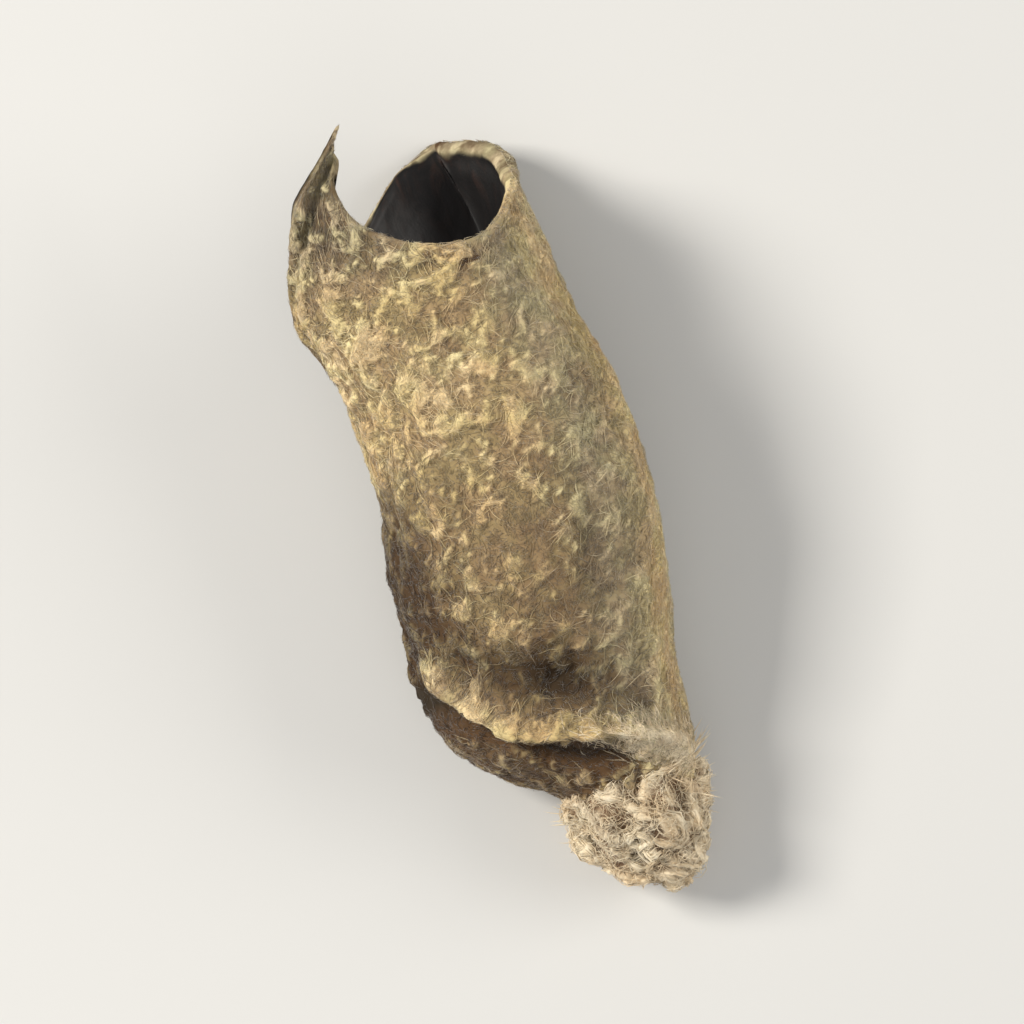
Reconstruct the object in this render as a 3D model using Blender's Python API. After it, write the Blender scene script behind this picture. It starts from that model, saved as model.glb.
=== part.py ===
"""A dried wood ear: one leathery ear, dried into an open roll above its ragged foot.

The roll is shaped upright in a frame of its own and then laid down. There Y runs from the foot to the
mouth, X to the right, and Z out of the front, which faces up once the ear lies. Sizes are in millimetres.
Angles round the roll are in degrees, from its left side (0) over the front (90), the right side (180) and
the back (270), where the sheet's inner margin tucks in behind its outer margin.
"""

import math

import bmesh
import bpy
import numpy as np
from mathutils import Matrix, Vector

MM = 0.001

# The sheet, before it is shaped
WALL = 0.50
MARGIN_WALL_SHARE = 0.5  # how much of the wall's thickness is left at the free margins
MARGIN_WALL_REACH = 1.2  # how far in from a margin the wall reaches its full thickness
HORN_WALL_LOSS = 0.65  # how much thinner still the wall is at the horn's tip
HORN_WALL_REACH = 1.5
SHEET_WIDTH = 19.0  # round the roll, from margin to margin
SHEET_HEIGHT = 17.0  # from the neck to the rim
MEAN_RADIUS = 3.5
STEPS_UP = 36
STEPS_ROUND = 50
ROWS_AT_NECK = 0.7  # spacing of the lowest rows, beside an even spacing of 1

# At rest, the mouth's end lies this much higher than the foot's, in degrees
REST_TILT = 9.131

# Height, centre's x, half width, depth of the front and depth of the back, from the neck to the horn
SECTIONS = (
    (2.6, 0.15, 1.35, 1.25, 1.20),
    (3.4, 0.10, 1.95, 1.75, 1.55),
    (4.3, -0.35, 2.60, 2.20, 1.85),
    (5.4, -0.80, 3.10, 2.75, 2.08),
    (7.4, -0.78, 3.47, 3.15, 2.42),
    (9.4, -0.45, 3.65, 3.40, 2.72),
    (11.4, -0.25, 3.63, 3.45, 2.95),
    (13.8, -0.23, 3.40, 3.35, 3.10),
    (15.9, -0.60, 3.32, 3.25, 3.40),
    (17.8, -0.80, 3.28, 3.15, 3.80),
    (22.0, -0.72, 3.13, 2.90, 4.30),
)
# The back's section is an ellipse to this power of the sine: rounded low down, squarer at the mouth
BACK_POWER_LOW = 0.75
BACK_POWER_HIGH = 0.42
BACK_POWER_HEIGHTS = (14.5, 18.5)

# The sheet's free edges as (angle, height)
OUTER_MARGIN = ((-18, 2.8), (-24, 7), (-18, 12), (-9, 15.5), (2, 17.7), (26, 19.2), (49, 20.6), (74, 21.95))
RIM = (
    (74, 21.95), (65, 21.4), (60, 20.8), (59, 20.1), (66, 19.4), (78, 18.8), (91, 18.35), (109, 18.05),
    (122, 18.05), (135, 18.3), (154, 18.75), (176, 19.25), (190, 19.72), (203, 20.28), (218, 20.64),
    (235, 20.76), (247, 20.64), (257, 20.42), (266, 20.12),
)
INNER_MARGIN = ((318, 2.8), (336, 7), (340, 11), (330, 15), (306, 18.0), (282, 19.25), (266, 20.12))

# The inner margin tucks in by this share of the section, and comes out again towards the mouth
TUCK_SHARE = 0.34
TUCK_ANGLES = (235, 345)
UNTUCK_SHARE = 0.95
UNTUCK_HEIGHTS = (14, 17.5)
TUCK_HEIGHTS = (3, 7)

# The lip that hangs over the neck, as (angle, height), and the groove under it
LIP = ((20, 7.5), (38, 6.9), (54, 5.85), (72, 5.2), (98, 4.85), (124, 4.3), (150, 3.75))
LIP_ENDS = ((5, 35), (125, 160))
LIP_STAND = 0.42
LIP_HALF_HEIGHT = 0.42
GROOVE_BELOW_LIP = 0.9
LIP_SAG = 0.35
SAG_ABOVE_LIP = 0.1
SAG_HALF_HEIGHT = 0.5
INNER_DENT = 0.25
DENT_BELOW_LIP = 0.6
DENT_HALF_HEIGHT = 1.0

# The sunken crease over the lip
PIT_ANGLE = 86
PIT_HALF_ANGLE = 26
PIT_ABOVE_LIP = 1.35
PIT_HALF_HEIGHT = 0.74
PIT_DEPTH = 1.05

# The outer margin's curl at the mouth, and the groove inside it
CURL_STAND = 0.28
CURL_WIDTH = 0.8
CURL_GROOVE = 0.16
CURL_GROOVE_AT = 1.1
CURL_GROOVE_WIDTH = 0.35
CURL_HEIGHTS = (12, 16.5)

# Folds up the roll: stand, waves round it, turn with height and phase
FOLDS = ((0.09, 4, 0.35, 0.0), (0.06, 7, -0.5, 1.3))
DENT_STAND = 0.08
FOLD_HEIGHTS = (4.5, 7.5)
# Waves of the free edges: stand, how far in they reach, waves for each millimetre and phase
RIM_WAVES = (0.13, 1.6, 2.1, 0.5)
SIDE_WAVES = (0.12, 1.3, 1.9, 0.8)
RIM_CALM = 0.25  # share of the waves left on the front of the mouth
RIM_CALM_ANGLES = (150, 200)

# Two lobes of the far rim bend down, and the mouth's end rests on them: stand, angle, width and heights
BACK_LOBES = ((1.04, 227, 21, (15.0, 19.5)), (0.61, 300, 16, (15.0, 18.0)))

# Height, centre's x and radius of the foot, from its lowest point to the top of its core inside the roll
FOOT_OUTLINE = (
    (0.0, 0.60, 0.25), (0.4, 0.50, 0.90), (1.1, 0.33, 1.48), (2.0, 0.17, 1.86), (2.7, 0.15, 1.92),
    (3.4, 0.15, 1.72), (4.3, 0.15, 1.55), (5.0, 0.15, 0.95),
)
FOOT_RINGS = 18
FOOT_SIDES = 34
# Lumps of its skin: share of the radius, waves round it, turn with height and phase
FOOT_LUMPS = ((0.08, 3, 1.7, 0.0), (0.06, 7, -2.3, 0.0), (0.04, 11, 4.1, 1.0))
SMOOTH_CORE_HEIGHTS = (2.8, 3.8)
# The flat on which the foot rests: its depth at height 0, and its slope
FLAT_DEPTH = 1.355
FLAT_SLOPE = 0.160

# Torn tufts round the top of the foot: angle, height, how far each stands out and how far it bends up
TUFTS = (
    (186, 3.1, 0.75, 0.5), (168, 2.5, 0.6, -0.1), (140, 3.0, 0.45, 0.35),
    (206, 2.2, 0.45, -0.3), (14, 2.5, 0.5, 0.3),
)
TUFT_CENTRE = 0.15
TUFT_RADIUS = 0.42
TUFT_TIP_SHARE = 0.2
TUFT_ROOT = 1.2  # from the foot's axis
TUFT_BURIED = 0.6  # how much of its length is inside the foot
TUFT_RINGS = 5
TUFT_SIDES = 6

FELT_COLOUR = (0.42, 0.35, 0.24)
FELT_ROUGHNESS = 0.95


def eased(low, high, x):
    """0 below low, 1 above high, with a smooth step between."""
    share = np.clip((x - low) / (high - low), 0, 1)
    return share * share * (3 - 2 * share)


def hump(x, centre, width):
    """1 at the centre, falling to 0 on both sides of it."""
    return np.exp(-(((x - centre) / width) ** 2))


def through(knots, values, x):
    """A smooth curve through values at knots, read at x."""
    knots = np.asarray(knots, float)
    values = np.asarray(values, float)
    slopes = np.gradient(values, knots)
    i = np.clip(np.searchsorted(knots, x) - 1, 0, len(knots) - 2)
    step = knots[i + 1] - knots[i]
    t = np.clip((x - knots[i]) / step, 0, 1)
    start = (1 + 2 * t) * (1 - t) ** 2 * values[i] + t * (1 - t) ** 2 * step * slopes[i]
    end = t * t * (3 - 2 * t) * values[i + 1] + t * t * (t - 1) * step * slopes[i + 1]
    return start + end


def along(edge, share):
    """Angle and height at a share of the way along one of the sheet's free edges."""
    angles, heights = np.transpose(edge)
    runs = np.hypot(np.radians(np.diff(angles)) * MEAN_RADIUS, np.diff(heights))
    knots = np.concatenate([[0], np.cumsum(runs)]) / runs.sum()
    return np.array([through(knots, angles, share), through(knots, heights, share)])


def sheet_places(up, across):
    """Angle and height at shares up the sheet and across it, spread evenly between its free edges."""
    left, right, top = along(OUTER_MARGIN, up), along(INNER_MARGIN, up), along(RIM, across)
    left_corner, right_corner = (np.reshape(edge[-1], (2, 1, 1)) for edge in (OUTER_MARGIN, INNER_MARGIN))
    straight_top = (1 - across) * left_corner + across * right_corner
    return (1 - across) * left + across * right + up * (top - straight_top)


def above_lip(angle, height):
    """How far a place lies above the lip, or below it where this is negative."""
    angles, heights = np.transpose(LIP)
    return height - through(angles, heights, np.clip(angle, angles[0], angles[-1]))


def over_front(angle):
    """1 where the lip hangs over the neck, and 0 round the back."""
    left_end, right_end = LIP_ENDS
    return eased(*left_end, angle) * (1 - eased(*right_end, angle))


def lip_and_groove(angle, height):
    """The rounded lip and the groove under it, which only the outer face has."""
    above = above_lip(angle, height)
    lip = hump(above, 0, LIP_HALF_HEIGHT)
    groove = hump(above, -GROOVE_BELOW_LIP, LIP_HALF_HEIGHT)
    return LIP_STAND * over_front(angle) * (lip - groove)


def dent_behind_lip(angle, height):
    """What is left of the lip and groove on the inner face."""
    return -INNER_DENT * over_front(angle) * hump(above_lip(angle, height), -DENT_BELOW_LIP, DENT_HALF_HEIGHT)


def pit(angle, height):
    above = hump(above_lip(angle, height), PIT_ABOVE_LIP, PIT_HALF_HEIGHT)
    return -PIT_DEPTH * hump(angle, PIT_ANGLE, PIT_HALF_ANGLE) * above


def margin_curl(across, height):
    """The outer margin curls out at the mouth, with a narrow groove inside it."""
    from_margin = across * SHEET_WIDTH
    curl = CURL_STAND * hump(from_margin, 0, CURL_WIDTH)
    groove = CURL_GROOVE * hump(from_margin, CURL_GROOVE_AT, CURL_GROOVE_WIDTH)
    return eased(*CURL_HEIGHTS, height) * (curl - groove)


def long_folds(angle, height):
    """Shallow folds and dents left by drying, which run mostly up the roll."""
    turn = np.radians(angle)
    folds = sum(stand * np.sin(waves * turn + climb * height + at) for stand, waves, climb, at in FOLDS)
    dents = DENT_STAND * np.sin(1.5 * height + 2 * turn) * np.sin(3 * turn + 0.6)
    return (folds + dents) * eased(*FOLD_HEIGHTS, height)


def margin_waves(up, across, angle, height):
    """The sheet's free edges wave in and out, least on the front of the mouth."""
    stand, reach, waves, phase = RIM_WAVES
    calm = RIM_CALM + (1 - RIM_CALM) * eased(*RIM_CALM_ANGLES, angle)
    run = np.radians(angle) * MEAN_RADIUS
    rim = stand * calm * hump((1 - up) * SHEET_HEIGHT, 0, reach) * np.sin(waves * run + phase)
    stand, reach, waves, phase = SIDE_WAVES
    near_side = hump(np.minimum(across, 1 - across) * SHEET_WIDTH, 0, reach)
    side = stand * near_side * np.sin(waves * height + phase) * eased(5, 8, height)
    return rim + side


def back_lobes(angle, height):
    """How far the far rim bends down."""
    return sum(stand * hump(angle, at, wide) * eased(*span, height) for stand, at, wide, span in BACK_LOBES)


def tuck(angle, height):
    """The share of its section's size at which a place lies: under 1 towards the tucked-in inner margin."""
    untuck = UNTUCK_SHARE * eased(*UNTUCK_HEIGHTS, height)
    return 1 - TUCK_SHARE * eased(*TUCK_ANGLES, angle) * (1 - untuck) * eased(*TUCK_HEIGHTS, height)


def roll_surface(up, across, outside):
    """Points of the sheet's outer face or, with outside False, of the layer that its inner face follows."""
    angle, height = sheet_places(up, across)
    heights, centres, widths, fronts, backs = np.transpose(SECTIONS)
    stand = pit(angle, height) + margin_curl(across, height) + long_folds(angle, height)
    stand = stand + margin_waves(up, across, angle, height)
    stand = stand + (lip_and_groove if outside else dent_behind_lip)(angle, height)
    sine, cosine = np.sin(np.radians(angle)), np.cos(np.radians(angle))
    power = BACK_POWER_LOW + (BACK_POWER_HIGH - BACK_POWER_LOW) * eased(*BACK_POWER_HEIGHTS, height)
    front = (through(heights, fronts, height) + stand) * sine
    back = -(through(heights, backs, height) + stand + back_lobes(angle, height)) * np.abs(sine) ** power
    size = tuck(angle, height)
    x = through(heights, centres, height) - (through(heights, widths, height) + stand) * cosine * size
    sag = LIP_SAG * over_front(angle) * hump(above_lip(angle, height), SAG_ABOVE_LIP, SAG_HALF_HEIGHT)
    return np.stack([x, height - outside * sag, np.where(sine >= 0, front, back) * size], axis=-1)


def wall_thickness(up, across):
    """The wall thins towards the free margins, and most at the horn's tip."""
    from_side = np.minimum(across, 1 - across) * SHEET_WIDTH
    from_rim = (1 - up) * SHEET_HEIGHT
    full = eased(-0.2, MARGIN_WALL_REACH, np.minimum(from_side, from_rim))
    from_horn = np.hypot(across * SHEET_WIDTH, from_rim)
    thinner = 1 - HORN_WALL_LOSS * hump(from_horn, 0, HORN_WALL_REACH)
    return WALL * (MARGIN_WALL_SHARE + (1 - MARGIN_WALL_SHARE) * full) * thinner


def inner_surface(up, across):
    """Points of the sheet's inner face: a wall's thickness inside the layer that it follows."""
    layer = roll_surface(up, across, outside=False)
    normal = np.cross(np.gradient(layer, axis=1), np.gradient(layer, axis=0))
    normal /= np.linalg.norm(normal, axis=-1, keepdims=True)
    return layer - normal * wall_thickness(up, across)[..., None]


def fill_ring(mesh, ring):
    """Faces across a ring, as a ladder between its two halves."""
    half = len(ring) // 2
    for i in range(half - 1):
        mesh.faces.new((ring[i], ring[i + 1], ring[-2 - i], ring[-1 - i]))


def mesh_object(name, rows, material):
    """A closed mesh object from rings of points in millimetres, with its first and last rings filled in."""
    mesh = bmesh.new()
    rings = [[mesh.verts.new(Vector(point) * MM) for point in row] for row in rows]
    for low, high in zip(rings, rings[1:]):
        for i in range(len(low)):
            j = (i + 1) % len(low)
            mesh.faces.new((low[i], low[j], high[j], high[i]))
    fill_ring(mesh, rings[0][::-1])
    fill_ring(mesh, rings[-1])
    data = bpy.data.meshes.new(name)
    mesh.to_mesh(data)
    mesh.free()
    data.shade_smooth()
    data.materials.append(material)
    made = bpy.data.objects.new(name, data)
    bpy.context.scene.collection.objects.link(made)
    return made


def make_sheet(material):
    """The rolled sheet as one closed wall: outer face, inner face and the edges between them."""
    even = np.linspace(0, 1, STEPS_UP + 1)
    shares_up = even * (ROWS_AT_NECK + (1 - ROWS_AT_NECK) * even)
    up, across = np.meshgrid(shares_up, np.linspace(0, 1, STEPS_ROUND + 1), indexing="ij")
    outer = roll_surface(up, across, outside=True)
    inner = inner_surface(up, across)
    round_the_wall = np.concatenate([outer, inner[:, ::-1]], axis=1)
    return mesh_object("wood_ear", round_the_wall, material)


def foot_points(turn, height):
    """Points round the foot's lumpy skin, which is smooth where it runs up into the roll."""
    heights, centres, radii = np.transpose(FOOT_OUTLINE)
    ragged = 1 - eased(*SMOOTH_CORE_HEIGHTS, height)
    lumps = sum(share * np.sin(waves * turn + climb * height + at) for share, waves, climb, at in FOOT_LUMPS)
    radius = through(heights, radii, height) * (1 + ragged * lumps)
    depth = np.maximum(radius * np.sin(turn), -FLAT_DEPTH - FLAT_SLOPE * height)
    centre = through(heights, centres, height)
    return np.stack([centre - radius * np.cos(turn), height + 0 * turn, depth], axis=-1)


def make_foot(material):
    """The torn knob that held the ear to its wood, with its core running up into the roll."""
    turn = np.linspace(0, 2 * math.pi, FOOT_SIDES, endpoint=False)
    heights = np.linspace(FOOT_OUTLINE[0][0], FOOT_OUTLINE[-1][0], FOOT_RINGS)
    return mesh_object("foot_core", [foot_points(turn, height) for height in heights], material)


def make_tuft(index, angle, height, length, rise, material):
    """A torn tuft of the foot: a short bent cone with its root inside the foot."""
    turn = math.radians(angle)
    outwards = np.array([-math.cos(turn), 0.0, math.sin(turn)])
    sideways = np.array([math.sin(turn), 0.0, math.cos(turn)])
    upwards = np.array([0.0, 1.0, 0.0])
    root = np.array([TUFT_CENTRE, height, 0.0]) + TUFT_ROOT * outwards
    round_it = np.linspace(0, 2 * math.pi, TUFT_SIDES, endpoint=False)
    rings = []
    for share in np.linspace(0, 1, TUFT_RINGS):
        middle = root + (TUFT_BURIED + length) * share * outwards + rise * share * share * upwards
        radius = TUFT_RADIUS * (1 - (1 - TUFT_TIP_SHARE) * share)
        rings.append([middle + radius * (math.cos(a) * sideways + math.sin(a) * upwards) for a in round_it])
    return mesh_object(f"tuft_{index}", rings, material)


def fuse(target, other):
    """Joins another solid to the target, and keeps it as a hidden helper."""
    other.hide_render = True
    other.display_type = "WIRE"
    union = target.modifiers.new(other.name, "BOOLEAN")
    union.operation = "UNION"
    union.solver = "EXACT"
    union.object = other


def lay_down(ear, helpers):
    """Tilts the ear to how it rests, with its lowest point at height 0 and its box centred on the origin."""
    tilt = Matrix.Rotation(math.radians(REST_TILT), 4, "X")
    bpy.context.view_layer.update()
    fused = ear.evaluated_get(bpy.context.evaluated_depsgraph_get()).data
    points = np.array([tilt @ vertex.co for vertex in fused.vertices])
    low, high = points.min(axis=0), points.max(axis=0)
    shift = Matrix.Translation((-(low[0] + high[0]) / 2, -(low[1] + high[1]) / 2, -low[2]))
    for made in (ear, *helpers):
        made.matrix_world = shift @ tilt


def felted_skin():
    """The material of the whole ear."""
    material = bpy.data.materials.new("felted_skin")
    material.use_nodes = True
    shader = material.node_tree.nodes["Principled BSDF"]
    shader.inputs["Base Color"].default_value = (*FELT_COLOUR, 1)
    shader.inputs["Roughness"].default_value = FELT_ROUGHNESS
    shader.inputs["Metallic"].default_value = 0
    return material


def main():
    for old in list(bpy.data.objects):
        bpy.data.objects.remove(old)
    skin = felted_skin()
    ear = make_sheet(skin)
    helpers = [make_foot(skin)]
    helpers += [make_tuft(index, *tuft, skin) for index, tuft in enumerate(TUFTS)]
    for helper in helpers:
        fuse(ear, helper)
    lay_down(ear, helpers)


main()
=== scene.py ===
"""A dried wood ear, dressed: felted outside, smooth dark inside, with a pale torn foot of curled fibres.

The ear is shaped in the roll's own frame, in millimetres: Y runs from the foot to the mouth, X to the right
and Z out of the front. Angles round the roll are in degrees, from its left side (0) over the front (90), the
right side (180) and the back (270). Each finished mesh is laid down into the solid's frame, in metres.
"""

import itertools
import logging
import math
from collections.abc import Callable
from dataclasses import dataclass, field, replace
from enum import Enum

import bmesh
import bpy
import numpy as np
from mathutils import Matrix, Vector


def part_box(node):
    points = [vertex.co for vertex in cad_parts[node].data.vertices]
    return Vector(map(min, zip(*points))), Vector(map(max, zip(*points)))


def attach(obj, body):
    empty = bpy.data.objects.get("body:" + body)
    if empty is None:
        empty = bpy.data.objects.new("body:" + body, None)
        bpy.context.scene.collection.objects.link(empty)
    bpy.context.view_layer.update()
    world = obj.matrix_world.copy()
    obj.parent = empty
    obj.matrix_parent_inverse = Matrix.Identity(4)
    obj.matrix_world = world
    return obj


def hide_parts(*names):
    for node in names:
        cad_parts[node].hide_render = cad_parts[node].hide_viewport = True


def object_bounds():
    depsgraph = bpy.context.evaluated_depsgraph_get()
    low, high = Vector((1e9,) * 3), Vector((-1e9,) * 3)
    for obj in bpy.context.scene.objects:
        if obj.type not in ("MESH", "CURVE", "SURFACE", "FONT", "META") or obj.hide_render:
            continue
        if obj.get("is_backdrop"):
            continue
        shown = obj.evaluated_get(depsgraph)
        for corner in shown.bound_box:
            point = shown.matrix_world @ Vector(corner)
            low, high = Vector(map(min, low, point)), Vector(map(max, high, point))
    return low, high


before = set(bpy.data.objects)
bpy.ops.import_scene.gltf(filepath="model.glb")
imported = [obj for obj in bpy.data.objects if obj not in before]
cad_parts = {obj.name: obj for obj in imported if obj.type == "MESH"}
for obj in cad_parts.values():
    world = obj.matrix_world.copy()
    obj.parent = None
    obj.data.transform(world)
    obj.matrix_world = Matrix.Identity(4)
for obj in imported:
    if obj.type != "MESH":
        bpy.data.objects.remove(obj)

MM = 0.001
NODE = "wood_ear"
BODY = "root"
BUMP_DEPTH = 0.04 * MM
MAP_GAP = 0.01  # bare rim round a piece's map
JUST_INSIDE = 0.001  # how far inside a grid's last cell its outermost places are read
LEAST_LENGTH = 1e-9  # keeps a vector of no length from dividing by 0
LEAST_STEP = 1e-3  # the same for a grid's steps, in millimetres
PHASES = (0, 6)  # of waves, in radians

# what mixes a lattice place into its own number
AXIS_FACTORS = (374761393, 668265263, 1442695041)
SEED_FACTOR = 1013904223
MIX_FACTOR = 1274126177
LOW_BITS = 0xFFFF
NOISE_GAIN = 1.6  # brings the noise to about -1 to 1

CLOT_BEND = (1.2, 0.7)  # width and strength of what bends the clots, as shares of their size
CLOT_GRAIN = (0.42, 0.5)  # width, as such a share, and strength of what makes them ragged
CLOT_ENDS = (-0.12, 0.52)  # where they start, and where they are full

Array = np.ndarray
Colour = tuple[float, float, float]
Span = tuple[float, float]
Curve = tuple[Span, ...]
Terms = tuple[tuple[float | str, ...], ...]
Inputs = dict[str | int, object]
Material = bpy.types.Material
Node = bpy.types.Node
Piece = bpy.types.Object
Socket = bpy.types.NodeSocket

log = logging.getLogger("wood_ear")


# ---------------------------------------------------------------- shared curves and noise


def eased(low: float, high: float, x: Array) -> Array:
    """Gives a smooth step.

    Args:
        low: Where the step starts.
        high: Where it ends.
        x: The places to read it at.

    Returns:
        0 below low, 1 above high, and a smooth rise between.
    """
    share = np.clip((x - low) / (high - low), 0, 1)
    return share * share * (3 - 2 * share)


def hump(x: Array, centre: float, width: float) -> Array:
    """Gives 1 at the centre, falling to 0 on both sides of it."""
    return np.exp(-(((x - centre) / width) ** 2))


def through(knots: Array, values: Array, x: Array) -> Array:
    """Reads a smooth curve.

    Args:
        knots: Rising places along the curve.
        values: The curve's values there.
        x: The places to read it at.

    Returns:
        The curve's values at x.
    """
    knots = np.asarray(knots, float)
    values = np.asarray(values, float)
    slopes = np.gradient(values, knots)
    i = np.clip(np.searchsorted(knots, x) - 1, 0, len(knots) - 2)
    step = knots[i + 1] - knots[i]
    t = np.clip((x - knots[i]) / step, 0, 1)
    start = (1 + 2 * t) * (1 - t) ** 2 * values[i] + t * (1 - t) ** 2 * step * slopes[i]
    end = t * t * (3 - 2 * t) * values[i + 1] + t * t * (t - 1) * step * slopes[i + 1]
    return start + end


def unit(vectors: Array) -> Array:
    """Scales vectors to a length of 1."""
    return vectors / np.maximum(np.linalg.norm(vectors, axis=-1, keepdims=True), LEAST_LENGTH)


def scrambled(cell: Array, seed: int) -> Array:
    """Gives each whole-number place of a lattice its own number.

    Args:
        cell: Places, three whole numbers each.
        seed: Which of many such sets of numbers.

    Returns:
        A number from -1 to 1 for each place.
    """
    mixed = cell @ np.array(AXIS_FACTORS) + seed * SEED_FACTOR
    mixed = (mixed ^ (mixed >> 13)) * MIX_FACTOR
    mixed = mixed ^ (mixed >> 16)
    return (mixed & LOW_BITS) / (LOW_BITS / 2) - 1


def noise(points: Array, size: float, seed: int) -> Array:
    """Reads smooth three-dimensional noise.

    Args:
        points: Where to read it, in millimetres.
        size: Width of one lump.
        seed: Which of many such fields.

    Returns:
        About -1 to 1 for each point.
    """
    scaled = points / size
    cell = np.floor(scaled).astype(np.int64)
    share = scaled - cell
    weight = share * share * share * (share * (share * 6 - 15) + 10)
    total = np.zeros(points.shape[:-1])
    for corner in itertools.product((0, 1), repeat=3):
        at = np.array(corner)
        slope = np.stack([scrambled(cell + at, seed + 31 * axis) for axis in range(3)], axis=-1)
        part = np.prod(np.where(at, weight, 1 - weight), axis=-1)
        total += part * np.sum(slope * (share - at), axis=-1)
    return total * NOISE_GAIN


def rough(points: Array, size: float, seed: int, octaves: int = 3) -> Array:
    """Adds finer and finer noise, each half as wide and half as strong."""
    return sum(noise(points, size / 2**i, seed + i) / 2**i for i in range(octaves))


def clots(points: Array, size: float, seed: int) -> Array:
    """Gives uneven clots with ragged edges.

    Args:
        points: Where to read them, in millimetres.
        size: Distance from one clot to the next, about.
        seed: Which of many such fields.

    Returns:
        1 on the clots, falling to 0 between them.
    """
    bend_size, bend_share = CLOT_BEND
    grain_size, grain_share = CLOT_GRAIN
    bend = np.stack([noise(points, bend_size * size, seed + 5 * axis) for axis in range(3)], axis=-1)
    bent = points + bend_share * size * bend
    ragged = grain_share * noise(bent, grain_size * size, seed + 23)
    return eased(*CLOT_ENDS, noise(bent, size, seed + 17) + ragged)


# ---------------------------------------------------------------- the shape


class Face(Enum):
    """Which side of the sheet."""

    OUTER = "outer"
    INNER = "inner"


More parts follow.
